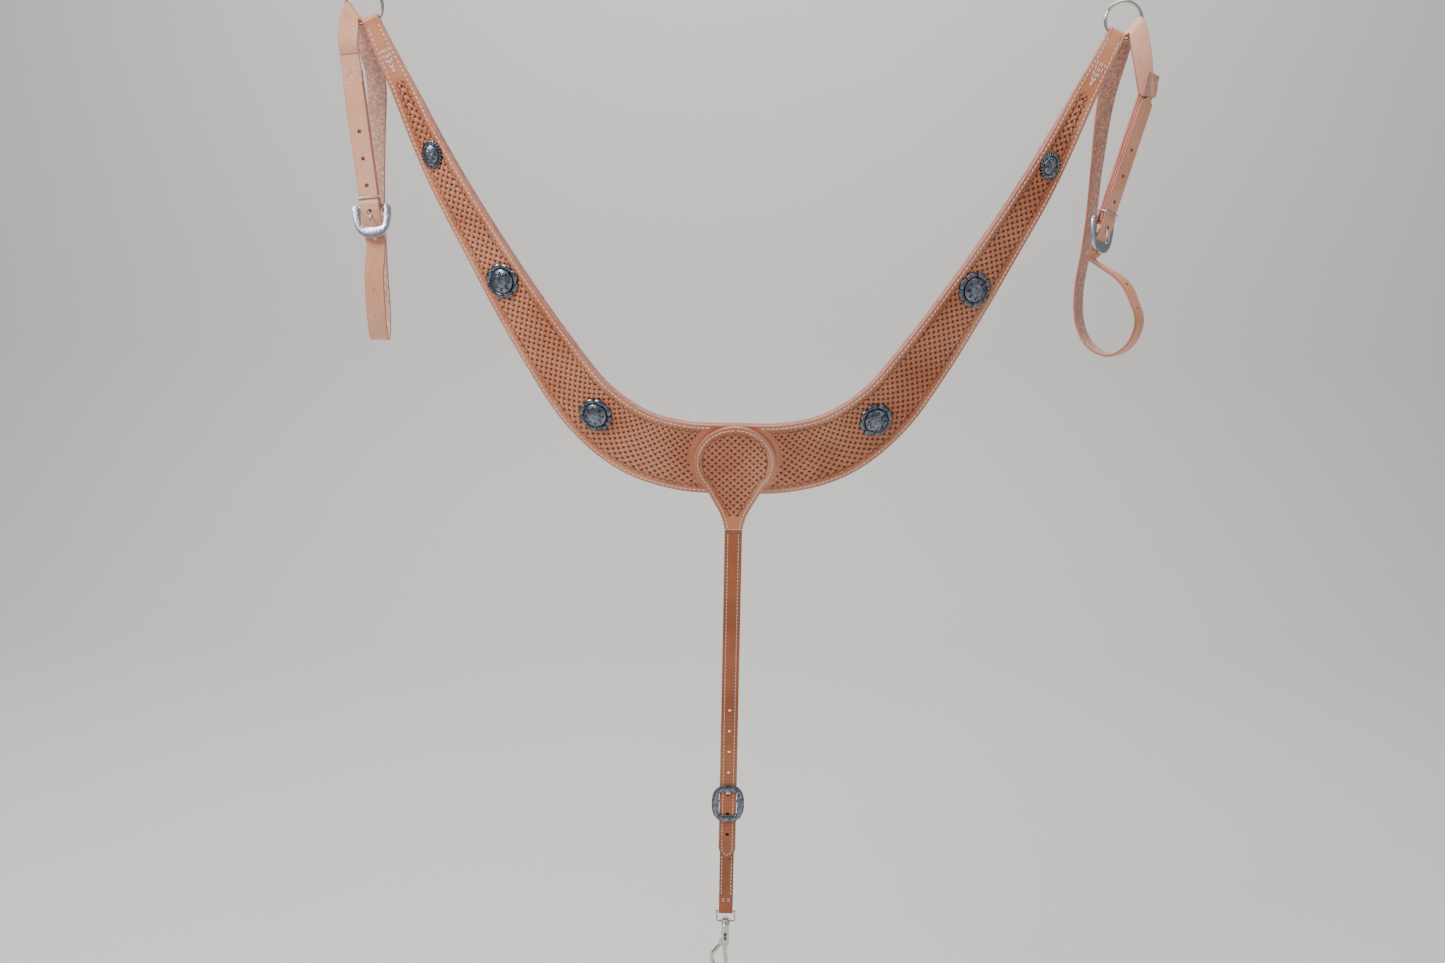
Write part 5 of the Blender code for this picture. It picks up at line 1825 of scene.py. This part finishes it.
    def build_thread(self, wardrobe: Wardrobe, body: str) -> None:
        """Stitches that hold the turned-back end, in a V on the front ply.

        Args:
            wardrobe: the finishes.
            body: the CAD body of the strap.
        """
        out = self.ply_out + self.thickness / 2
        rows = []
        for sign in (-1, 1):
            spots = ((0.1310, 0.0072), (0.1345, 0.0040), (0.1370, 0.0010))
            line = np.array([self.at(h, out) + self.across * sign * w for h, w in spots])
            rows.append((line, np.tile(self.front, (3, 1))))
        sewn = Stitching(pitch=0.0034, length=0.0026).sew(f"tug stitching {self.side.label}", rows)
        wardrobe.dress(sewn, THREAD)
        attach(sewn, body, "tug_leather")


# ---------------------------------------------------------------- drop strap


@dataclass
class DropStrap:
    """Round head on the collar, the strap below it, its buckle, snap strap and thread."""

    collar: Collar
    width: float = 0.0190
    head_radius: float = 0.0435
    face: float = 0.0018
    lining: float = 0.0016
    length: float = 0.3585
    neck: float = 0.0420
    tip: float = 0.0660
    hole_radius: float = 0.0019
    hole_pitch: float = 0.0245
    holes: tuple[int, int] = (2, 4)
    bar_out: float = 0.0041
    bar_radius: float = 0.0013
    plate_half: tuple = (0.0183, 0.0220)
    window_half: tuple = (0.0103, 0.0142)
    plate: float = 0.0024
    tongue_radius: float = 0.0009
    snap_width: float = 0.0160
    snap_thickness: float = 0.0018
    snap_length: float = 0.1336
    eye_wire: float = 0.0013
    stitch_at: float = 0.0037

    def __post_init__(self) -> None:
        """Works out the head's bend and the places along the strap."""
        dish = self.collar.dish
        self.layers = self.face + GAP + self.lining
        self.offset = self.collar.front + GAP + self.layers / 2
        self.dished = self.collar.centre_width / 2 / math.cos(dish)
        self.bend_radius = 0.8 * self.neck / math.sin(dish)
        edge_back = self.dished * math.sin(dish) - self.offset * math.cos(dish)
        self.plane = edge_back + self.bend_radius * (1 - math.cos(dish))
        self.neck_z = self.collar.bottom - self.neck
        bend_z = self.neck_z - GAP - self.layers / 2
        self.bend = np.array((0.0, self.plane, bend_z))
        bar_z = self.collar.bottom - self.length
        self.bar = np.array((0.0, self.plane + self.bar_out, bar_z))
        self.to_edge = 2 * self.dished - 0.0004
        self.eye_top = self.bar - UP * self.snap_length

    def head_point(self, length: float) -> Array:
        """Middle of the head's plies, a length down from its top.

        Args:
            length: length.

        Returns:
            The point.
        """
        dish = self.collar.dish
        inward = np.array((0.0, -math.sin(dish), math.cos(dish)))
        front = np.array((0.0, -math.cos(dish), -math.sin(dish)))
        middle = np.array((0.0, 0.0, self.collar.low)) + front * self.offset
        if length <= self.to_edge:
            return middle + inward * (self.to_edge - self.dished - length)
        turned = min(dish, (length - self.to_edge) / self.bend_radius)
        centre = middle - inward * self.dished + front * self.bend_radius
        angle = dish - turned
        place = centre + np.array((0.0, math.cos(angle), math.sin(angle))) * self.bend_radius
        straight = max(0.0, length - self.to_edge - self.bend_radius * dish)
        return place - UP * straight

    def outline(self) -> Array:
        """Length and half width of the head from its top to the bend.

        Returns:
            Length and half width of each row.
        """
        angles = np.radians(np.concatenate((np.linspace(88.5, 66, 10), np.linspace(62, -42, 27))))
        rows = [(self.head_radius * (1 - math.sin(a)), self.head_radius * math.cos(a)) for a in angles]
        knots = rows[-2:]
        for wide, down in ((0.0141, 0.0060), (0.0056, 0.0225), (0.0014, 0.0350)):
            knots.append((self.to_edge + down, self.width / 2 + wide))
        end = self.head_point(1.0)[2] + 1.0 - self.neck_z
        knots.append((end, self.width / 2 + 0.0006))
        return np.vstack((np.array(rows[:-2]), smooth_line(knots, 12)))

    def head_lay(self, step: float) -> Lay:
        """Sections of the head.

        Args:
            step: distance between sections below the rounded top.

        Returns:
            The sections.
        """
        shape = self.outline()
        fine = np.arange(0.004, shape[-1, 0], step)
        early = self.head_radius * (1 - np.sin(np.radians(np.linspace(88.5, 66.5, 14))))
        lengths = np.concatenate((early[early < 0.004], fine, [shape[-1, 0]]))
        half = np.interp(lengths, shape[:, 0], shape[:, 1])
        circle = lengths < self.head_radius
        half[circle] = np.sqrt(self.head_radius**2 - (self.head_radius - lengths[circle]) ** 2)
        pos = np.array([self.head_point(length) for length in lengths])
        across = np.tile(-RIGHT, (len(pos), 1))
        normal = np.cross(across, unit(np.gradient(pos, axis=0)))
        return Lay(pos, across, unit(normal), half)

    def head_relief(self, lay: Lay) -> Relief:
        """Basket stamping of the head inside its border.

        Args:
            lay: the head's sections.

        Returns:
            The function that the ply reads.
        """
        shape = self.outline()
        rim = np.vstack((smooth_line(shape, 4), smooth_line(shape * (1, -1), 4)))
        stamp = BasketStamp(depth=0.0011, stitch_at=self.stitch_at, line_at=0.0064, field_at=0.0070)
        end = self.to_edge + 0.0265

        def relief(u: Array, v: Array, edge: Array) -> tuple[Array, Array]:
            """Depth and painted shade over the head.

            Args:
                u: run along the strap.
                v: distance from its middle.
                edge: distance from its edge.

            Returns:
                Depth in metres and painted shade.
            """
            flat = np.column_stack((u.ravel(), v.ravel()))
            real = np.full(len(flat), 1.0)
            for start in range(0, len(rim), 64):
                part = rim[start : start + 64]
                gap = np.hypot(flat[:, 0:1] - part[:, 0], flat[:, 1:2] - part[:, 1])
                real = np.minimum(real, gap.min(axis=1))
            real = real.reshape(u.shape)
            tooled = np.clip((end - u) / 0.0015, 0.0, 1.0)
            return stamp.over(np.abs(v), u, real, tooled)

        return relief

    def strap_rows(self) -> Array:
        """Height from the bar, distance in front of it and half width of the strap.

        Returns:
            One row for each section.
        """
        half = self.width / 2
        start = self.bend[2] - self.bar[2]
        over = self.bar_radius + GAP + self.snap_thickness + GAP + self.layers / 2
        rise = [(start, self.bar_out), (0.20, self.bar_out), (0.10, self.bar_out)]
        rise += [(0.05, self.bar_out), (0.030, self.bar_out), (0.021, self.bar_out)]
        rise += [(0.014, 0.0043), (0.008, 0.0050), (0.0035, over), (0.0, over), (-0.0035, over)]
        rise += [(-0.008, 0.0050), (-0.014, 0.0043), (-0.022, 0.0043), (-0.030, 0.0044)]
        rise += [(-0.045, 0.0046)]
        rows = [(h, out, half) for h, out in rise]
        ends = ((0.012, 1.0), (0.006, 0.80), (0.002, 0.44), (0.0, 0.12))
        rows += [(-self.tip + back, 0.0046, half * share) for back, share in ends]
        return np.array(rows)

    def strap_lay(self) -> Lay:
        """Sections of the strap below the bend.

        Returns:
            The sections.
        """
        rows = smooth_line(self.strap_rows(), 8)
        pos = self.bar + rows[:, 0:1] * UP - rows[:, 1:2] * BACK
        pos = np.vstack((self.bend + UP * self.layers * 0.26, pos))
        half = np.concatenate((rows[:1, 2], rows[:, 2]))
        across = np.tile(-RIGHT, (len(pos), 1))
        normal = np.cross(across, unit(np.gradient(pos, axis=0)))
        return Lay(pos, across, unit(normal), half).spaced(0.0013)

    def build(self, wardrobe: Wardrobe) -> None:
        """Meshes, dresses and attaches the head, the strap and all that hangs on it.

        Args:
            wardrobe: the finishes.
        """
        half = self.layers / 2
        lay = self.head_lay(0.0008)
        face = ply("drop head leather", lay, (half - self.face, half), 110, self.head_relief(lay), 0.0008)
        wardrobe.dress(face, RUSSET)
        attach(face, "collar", "tooled_leather", "drop_head_face")
        span = (-half, self.lining - half)
        backing = ply("drop head lining", self.head_lay(0.004), span, 20, rim=0.0007)
        wardrobe.dress(backing, LINING)
        attach(backing, "collar", "lining_leather", "drop_head_lining")
        self.build_strap(wardrobe)
        self.build_thread(wardrobe)
        self.build_buckle(wardrobe)
        self.build_snap_strap(wardrobe)
        LOG.info("drop strap: head of %d faces", len(face.data.polygons))

    def build_strap(self, wardrobe: Wardrobe) -> None:
        """The two plies below the bend, punched for the tongue.

        Args:
            wardrobe: the finishes.
        """
        half = self.layers / 2
        lay = self.strap_lay()

        def creased(u: Array, v: Array, edge: Array) -> tuple[Array, Array]:
            """Stitch channel with painted shade in it, and a burnished middle.

            Args:
                u: run along the strap.
                v: distance from its middle.
                edge: distance from its edge.

            Returns:
                Depth in metres and darkness: painted shade in the channel, burnishing towards the middle.
            """
            line = np.exp(-(((edge - self.stitch_at) / 0.0007) ** 2))
            return 0.00024 * line, 0.30 * line + 0.10 * np.clip(edge / 0.009, 0, 1)

        spans = {
            "drop_strap_face": (half - self.face, half),
            "drop_strap_lining": (-half, self.lining - half),
        }
        for node, span in spans.items():
            outer = node.endswith("face")
            relief = creased if outer else flat_relief
            piece = ply(node.replace("_", " ") + " leather", lay, span, 26, relief, 0.0006)
            cutters = []
            for index in range(-self.holes[0], self.holes[1] + 1):
                radius = 0.0025 if index == 0 else self.hole_radius
                height = 0.0112 + index * self.hole_pitch
                place = self.bar + UP * height - BACK * 0.0046
                cutters.append(tool_cylinder(place, BACK, radius, 4 * self.layers))
            punch(piece, cutters)
            wardrobe.dress(piece, SADDLE if outer else LINING)
            attach(piece, "drop_strap", "tooled_leather" if outer else "lining_leather", node)

    def build_thread(self, wardrobe: Wardrobe) -> None:
        """Thread round the head and down both edges of the strap.

        Args:
            wardrobe: the finishes.
        """
        shape = smooth_line(self.outline(), 3)
        run = along(shape)
        wanted = np.arange(0.0, run[-1], 0.0015)
        shape = np.column_stack([np.interp(wanted, run, column) for column in shape.T])
        ahead = unit(np.gradient(shape, axis=0))
        soft = np.pad(ahead, ((4, 4), (0, 0)), mode="edge")
        ahead = unit(np.column_stack([np.convolve(c, np.ones(9) / 9, "valid") for c in soft.T]))
        inset = shape + np.column_stack((ahead[:, 1], -ahead[:, 0])) * self.stitch_at
        inset = inset[(inset[:, 1] > 0.0) & (inset[:, 0] > self.stitch_at * 0.9)]
        rows = []
        for sign in (-1, 1):
            places = np.array([self.head_point(length) for length, _ in inset])
            slope = unit(np.gradient(places, axis=0))
            normal = np.cross(np.tile(-RIGHT, (len(places), 1)), slope)
            line = places + np.outer(inset[:, 1] * sign, RIGHT) + normal * (self.layers / 2 - 0.0001)
            rows.append((line, normal))
        head = Stitching(pitch=0.0044, length=0.0037, radius=0.00055).sew("head stitching", rows)
        wardrobe.dress(head, THREAD)
        attach(head, "collar", "tooled_leather")
        lay = self.strap_lay()
        end = lay.run[-1]
        nose = 0.0125
        wide = self.width / 2 - self.stitch_at
        down = np.arange(0.004, end - nose, 0.002)
        turn = np.linspace(0.0, math.pi, 24)
        run = np.concatenate((down, end - nose + (nose - self.stitch_at) * np.sin(turn), down[::-1]))
        v = np.concatenate((np.full(len(down), -wide), -wide * np.cos(turn), np.full(len(down), wide)))
        line = np.array([lay.at(d, w, self.layers / 2 - 0.0001) for d, w in zip(run, v)])
        out = np.array([lay.at(d, 0.0, 1.0) - lay.at(d, 0.0, 0.0) for d in run])
        thread = Stitching(pitch=0.0039, length=0.0030, radius=0.00043)
        sewn = thread.sew("drop strap stitching", [(line, out)])
        wardrobe.dress(sewn, THREAD)
        attach(sewn, "drop_strap", "tooled_leather")

    def build_buckle(self, wardrobe: Wardrobe) -> None:
        """Engraved oval frame with lugs and bar, and its tongue.

        Args:
            wardrobe: the finishes.
        """
        steps, rings = 420, 32
        turn = np.linspace(0.0, 2 * math.pi, steps, endpoint=False)
        inner = self.oval(turn, self.window_half, 7.0)
        outer = self.oval(turn, self.plate_half, 2.5)
        share = np.linspace(0.0, 1.0, rings)
        plane = inner[:, None, :] * (1 - share)[None, :, None] + outer[:, None, :] * share[None, :, None]
        t, s = np.meshgrid(turn, share, indexing="ij")
        cut = scrollwork(t * 2.3, s * 1.6) * (s > 0.18) * (s < 0.80)
        beads = np.clip(np.cos(t * 72.0) * 1.6, 0, 1) * (s > 0.88)
        rim = np.clip(1 - np.abs(s - 0.12) / 0.04, 0, 1) + np.clip(1 - np.abs(s - 0.86) / 0.04, 0, 1)
        cut = np.maximum.reduce((cut * 0.85, rim * 0.80, beads * 0.6))
        out = 0.0043 + self.layers / 2 + GAP + self.plate / 2
        bow = np.sin(math.pi * share) ** 0.6
        high = out + self.plate * (0.05 + 0.45 * bow[None, :]) - 0.00026 * cut
        flat_points = self.bar + plane[..., 0:1] * RIGHT + plane[..., 1:2] * UP
        top = flat_points - high[..., None] * BACK
        bottom = flat_points - (out - self.plate / 2) * BACK
        frame = engraved_frame("drop buckle frame", top, bottom, True)
        mark_plate(frame, cut, 0.4)
        wardrobe.dress(frame, BLACKED_SILVER)
        attach(frame, "drop_strap", "antiqued_silver", "drop_buckle")
        lug_x = self.window_half[0] + 0.0018
        plate_at = self.bar - BACK * out
        line = [plate_at - RIGHT * lug_x, self.bar - RIGHT * lug_x]
        line += [self.bar + RIGHT * lug_x, plate_at + RIGHT * lug_x]
        bend = [line[0], line[0] * 0.3 + line[1] * 0.7, line[1] * 0.9 + line[2] * 0.1]
        bend += [line[1] * 0.1 + line[2] * 0.9, line[3] * 0.3 + line[2] * 0.7, line[3]]
        bar = rod("drop buckle bar", smooth_line(bend, 6), self.bar_radius)
        wardrobe.dress(bar, BLACKED_SILVER)
        attach(bar, "drop_strap", "antiqued_silver")
        eye = self.bar_radius + GAP + self.tongue_radius
        front = -BACK
        points = list(arc(self.bar, front, UP, eye, (-250.0, 40.0), 26))
        rest = out + self.plate / 2 + GAP + self.tongue_radius
        shaft = ((0.0014, 0.0038), (0.0008, 0.0070), (0.0016, 0.0092), (0.0040, 0.0106))
        shaft += ((0.0066, 0.0114), (rest - 0.0008, 0.0124), (rest, 0.0142), (rest, 0.0205))
        places = [self.bar + front * o + UP * h for o, h in shaft]
        tail = smooth_line([points[-2], points[-1], *places], 5)
        tongue = rod("drop tongue wire", np.vstack((points[:-2], tail)), self.tongue_radius, sides=14)
        wardrobe.dress(tongue, BLACKED_SILVER)
        attach(tongue, "drop_tongue", "antiqued_silver", "drop_tongue")

    @staticmethod
    def oval(turn: Array, half: tuple, power: float) -> Array:
        """Closed outline between an ellipse and a rectangle.

        Args:
            turn: angles round the outline.
            half: half width and half height.
            power: squareness.

        Returns:
            The outline.
        """
        c, s = np.cos(turn), np.sin(turn)
        size = (np.abs(c) ** power + np.abs(s) ** power) ** (-1.0 / power)
        return np.column_stack((half[0] * size * c, half[1] * size * s))

    def build_snap_strap(self, wardrobe: Wardrobe) -> None:
        """One folded strap between the centre bar and the snap's eye.

        Args:
            wardrobe: the finishes.
        """
        half = self.snap_thickness / 2
        bar_turn = self.bar_radius + GAP + half
        eye_turn = self.eye_wire + GAP + half
        ply_out = half + GAP / 2
        join = self.bar - UP * 0.6 * self.snap_length + BACK * ply_out
        front = -BACK

        def flat(base: Array, height: float, out: float) -> Array:
            """One point of the two plies.

            Args:
                base: point that the height is measured from.
                height: height above that point.
                out: distance out of the strap's front.

            Returns:
                The point.
            """
            return base + UP * height + front * out

        points = [join, flat(self.bar, -0.016, -ply_out), flat(self.bar, -0.009, -ply_out)]
        points += list(arc(self.bar, front, UP, bar_turn, (190.0, -10.0), 16))
        points += [flat(self.bar, -0.009, ply_out), flat(self.bar, -0.016, ply_out)]
        points += [flat(self.eye_top, 0.018, ply_out), flat(self.eye_top, 0.009, ply_out)]
        points += list(arc(self.eye_top, front, UP, eye_turn, (10.0, -190.0), 16))
        points += [flat(self.eye_top, 0.009, -ply_out), join - UP * 2 * GAP]
        pos = smooth_line(points, 3)
        across = np.tile(-RIGHT, (len(pos), 1))
        normal = np.cross(across, unit(np.gradient(pos, axis=0)))
        lay = Lay(pos, across, unit(normal), np.full(len(pos), self.snap_width / 2)).spaced(0.0010)

        def creased(u: Array, v: Array, edge: Array) -> tuple[Array, Array]:
            """A faint line along both edges, with painted shade in it.

            Args:
                u: run along the strap.
                v: distance from its middle.
                edge: distance from its edge.

            Returns:
                Depth in metres and painted shade.
            """
            line = np.exp(-(((edge - 0.0018) / 0.0004) ** 2))
            return 0.00014 * line, 0.3 * line

        strap = ply("snap strap leather", lay, (-half, half), 20, creased, 0.0006)
        width = 2 * (self.tongue_radius + 2 * GAP)
        punch(strap, [tool_cylinder(self.bar, RIGHT, 0.0052, width)])
        wardrobe.dress(strap, SADDLE)
        attach(strap, "snap_strap", "tooled_leather", "snap_strap")
        rows = []
        for height in (-0.0135, -0.0155):
            line = np.array([flat(self.bar, height, ply_out + half) + RIGHT * x for x in (-0.006, 0.006)])
            rows.append((line, np.tile(front, (2, 1))))
        for height in (0.0125, 0.0150):
            base = self.eye_top
            line = np.array([flat(base, height, ply_out + half) + RIGHT * x for x in (-0.006, 0.006)])
            rows.append((line, np.tile(front, (2, 1))))
        for sign in (-1, 1):
            reach = np.linspace(-0.030, -self.snap_length + 0.020, 40)
            side = RIGHT * sign * (self.snap_width / 2 - 0.0026)
            line = np.array([flat(self.bar, height, ply_out + half) + side for height in reach])
            rows.append((line, np.tile(front, (len(line), 1))))
        sewn = Stitching(pitch=0.0042, length=0.0033, radius=0.0005).sew("snap strap stitching", rows)
        wardrobe.dress(sewn, THREAD)
        attach(sewn, "snap_strap", "tooled_leather")


# ---------------------------------------------------------------- nickel fittings


@dataclass
class Fittings:
    """Rings, screws and the swivel snap."""

    collar: Collar
    drop: DropStrap
    eye_height: float = 0.0125
    boss_radius: float = 0.0048
    bore_radius: float = 0.0029
    bore_drop: float = 0.0183
    bolt_drop: float = 0.0308
    bolt_travel: float = 0.0080
    spring_wire: float = 0.00028
    spring_turns: int = 6

    def build_spring(self, wardrobe: Wardrobe) -> None:
        """Coil between the blind end of the bore and the bolt.

        Args:
            wardrobe: the finishes.
        """
        room = self.spring_wire + GAP
        top = self.drop.eye_top - UP * (self.bore_drop + room)
        length = self.bolt_drop - self.bore_drop - 2 * room
        turn = np.linspace(0.0, 2 * math.pi * self.spring_turns, self.spring_turns * 24 + 1)
        ring = np.outer(np.cos(turn), RIGHT) + np.outer(np.sin(turn), BACK)
        points = top + ring * (self.bore_radius - room) - np.outer(turn / turn[-1] * length, UP)
        spring = rod("snap spring coil", points, self.spring_wire, sides=8)
        wardrobe.dress(spring, NICKEL)
        attach(spring, "snap_hook", "nickel", "snap_spring")
        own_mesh(spring)

    def build(self, nodes: dict, wardrobe: Wardrobe) -> None:
        """Makes round rings and dresses the small CAD pieces.

        Args:
            nodes: CAD nodes by name.
            wardrobe: the finishes.
        """
        for side in Side:
            centre = self.collar.ring * (side.value, 1, 1)
            radius = self.collar.ring_inner + self.collar.ring_wire
            points = arc(centre, RIGHT, UP, radius, (0.0, 360.0), 96)[:-1]
            name = f"ring_{side.label}"
            ring = rod(f"ring {side.label}", points, self.collar.ring_wire, closed=True, sides=20)
            wardrobe.dress(ring, NICKEL)
            attach(ring, name, "nickel", name)
        for name, node in nodes.items():
            if name.startswith(("concho_screw", "snap_eye", "snap_hook", "snap_bolt", "snap_thumb")):
                wardrobe.dress(node, NICKEL)
        self.build_spring(wardrobe)
        low = self.drop.eye_top - UP * self.eye_height
        for index in range(5):
            place = low + UP * (index - 2) * 0.00085
            points = arc(place, RIGHT, BACK, self.boss_radius + 0.00002, (0.0, 360.0), 48)[:-1]
            rib = rod(f"swivel rib {index + 1}", points, 0.00036, closed=True, sides=8)
            wardrobe.dress(rib, NICKEL)
            attach(rib, "snap_eye", "nickel")
        LOG.info("fittings: 2 rings, 5 ribs")


# ---------------------------------------------------------------- studio


@dataclass
class Studio:
    """Pale floor and backdrop, soft lights and the camera."""

    focal: float = 36.0 * 1300.0 / 1445.0
    place: tuple = (-0.0129, -1.3760, -0.2625)
    pitch: float = math.radians(9.7)
    roll: float = math.radians(1.07)
    floor_z: float = -1.30
    backdrop_start: float = 2.0
    backdrop_bend: float = 0.8

    def build(self, wardrobe: Wardrobe) -> None:
        """Sets the stage.

        Args:
            wardrobe: the finishes.
        """
        self.build_backdrop(wardrobe)
        self.add_light("key", (-1.5, -1.0, 1.1), 0.8, 50.0)
        self.add_light("fill", (1.7, -1.6, 0.0), 1.8, 7.0)
        self.add_light("top", (0.3, -0.5, 1.6), 1.0, 16.0)
        self.add_light("wall", (0.0, 1.0, 2.6), 2.4, 90.0, (0.0, 2.8, -0.4))
        world = bpy.data.worlds.new("studio")
        world.use_nodes = True
        world.node_tree.nodes["Background"].inputs["Color"].default_value = (0.90, 0.94, 1.0, 1.0)
        world.node_tree.nodes["Background"].inputs["Strength"].default_value = 0.24
        bpy.context.scene.world = world
        data = bpy.data.cameras.new("camera")
        data.lens = self.focal
        data.sensor_width = 36.0
        camera = bpy.data.objects.new("camera", data)
        turn = Matrix.Rotation(math.pi / 2 - self.pitch, 4, "X") @ Matrix.Rotation(self.roll, 4, "Z")
        camera.matrix_world = Matrix.Translation(self.place) @ turn
        bpy.context.scene.collection.objects.link(camera)
        bpy.context.scene.camera = camera

    def build_backdrop(self, wardrobe: Wardrobe) -> None:
        """One sheet that sweeps from the floor up behind the collar.

        Args:
            wardrobe: the finishes.
        """
        start, bend = self.backdrop_start, self.backdrop_bend
        line = [(-2.0 * start, 0.0), (start, 0.0)]
        for turn in np.linspace(0.1, 1.5, 14):
            line.append((start + bend * math.sin(turn), bend * (1 - math.cos(turn))))
        line += [(start + bend, 1.2 * bend), (start + bend, 5.0)]
        verts = [(x, y, self.floor_z + z) for y, z in line for x in (-5.0, 5.0)]
        faces = [(2 * i, 2 * i + 1, 2 * i + 3, 2 * i + 2) for i in range(len(line) - 1)]
        sheet = new_mesh("floor and backdrop", np.array(verts), faces)
        wardrobe.dress(sheet, PaintFinish("pale paint", rgba(226, 224, 220)))

    @staticmethod
    def add_light(
        name: str, place: tuple, size: float, power: float, target: tuple = (0.0, 0.0, -0.45)
    ) -> None:
        """One soft square light.

        Args:
            name: its name.
            place: where it stands.
            size: side of the square.
            power: watts.
            target: point that it is aimed at.
        """
        data = bpy.data.lights.new(name, "AREA")
        data.shape = "SQUARE"
        data.size = size
        data.energy = power
        light = bpy.data.objects.new(name, data)
        aim = (Vector(target) - Vector(place)).to_track_quat("-Z", "Y")
        light.matrix_world = Matrix.Translation(place) @ aim.to_matrix().to_4x4()
        bpy.context.scene.collection.objects.link(light)


def tug_straps(collar: Collar) -> list[TugStrap]:
    """The two tug straps, each hanging its own way.

    Args:
        collar: gives the rings.

    Returns:
        The left and the right strap.
    """
    left = TugStrap(
        Side.LEFT,
        collar.ring * (-1, 1, 1),
        collar.end,
        (0.0035, -0.0070, -0.1990),
        (-0.115, 0.0, 1.0),
        0.0,
        ((-0.0140, -0.0115, -0.0340, 0.0),),
        (
            (-0.0010, 0.0160, -0.0400, 0.0),
            (0.0040, 0.0255, -0.0740, 0.0),
            (0.0008, 0.0295, -0.1250, 0.0),
            (-0.0012, 0.0290, -0.1850, 0.0),
            (-0.0002, 0.0280, -0.2500, 0.0),
            (0.0028, 0.0250, -0.3020, 0.0),
            (0.0046, 0.0160, -0.3310, 0.0),
            (0.0053, 0.0040, -0.3330, 0.0),
            (0.0058, -0.0065, -0.3080, 0.0),
            (0.0056, -0.0100, -0.2700, 0.0),
        ),
    )
    right = TugStrap(
        Side.RIGHT,
        collar.ring,
        collar.end,
        (-0.0095, -0.0085, -0.2000),
        (0.270, 0.0, 1.0),
        40.0,
        ((0.0180, -0.0130, -0.0400, 4.0), (0.0250, -0.0135, -0.0750, 26.0)),
        (
            (0.0000, 0.0180, -0.0400, 0.0),
            (-0.0050, 0.0300, -0.0800, 20.0),
            (-0.0090, 0.0310, -0.1400, 40.0),
            (-0.0110, 0.0320, -0.1900, 46.0),
            (-0.0140, 0.0340, -0.2300, 49.0),
            (-0.0180, 0.0370, -0.2700, 50.0),
            (-0.0160, 0.0340, -0.3050, 50.0),
            (-0.0060, 0.0220, -0.3290, 50.0),
            (0.0110, 0.0020, -0.3380, 50.0),
            (0.0250, -0.0160, -0.3250, 50.0),
            (0.0300, -0.0240, -0.3020, 50.0),
            (0.0240, -0.0220, -0.2810, 49.0),
            (0.0120, -0.0150, -0.2590, 46.0),
        ),
    )
    return [left, right]


def main() -> None:
    """Builds every piece in order."""
    logging.basicConfig(level=logging.INFO, format="%(message)s")
    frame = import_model()
    wardrobe = Wardrobe()
    collar = Collar()
    collar.build(wardrobe)
    ConchoSet(collar).build(wardrobe)
    drop = DropStrap(collar)
    drop.build(wardrobe)
    for strap in tug_straps(collar):
        strap.build(wardrobe)
    Fittings(collar, drop).build(frame["nodes"], wardrobe)
    Studio().build(wardrobe)


if __name__ == "__main__":
    main()
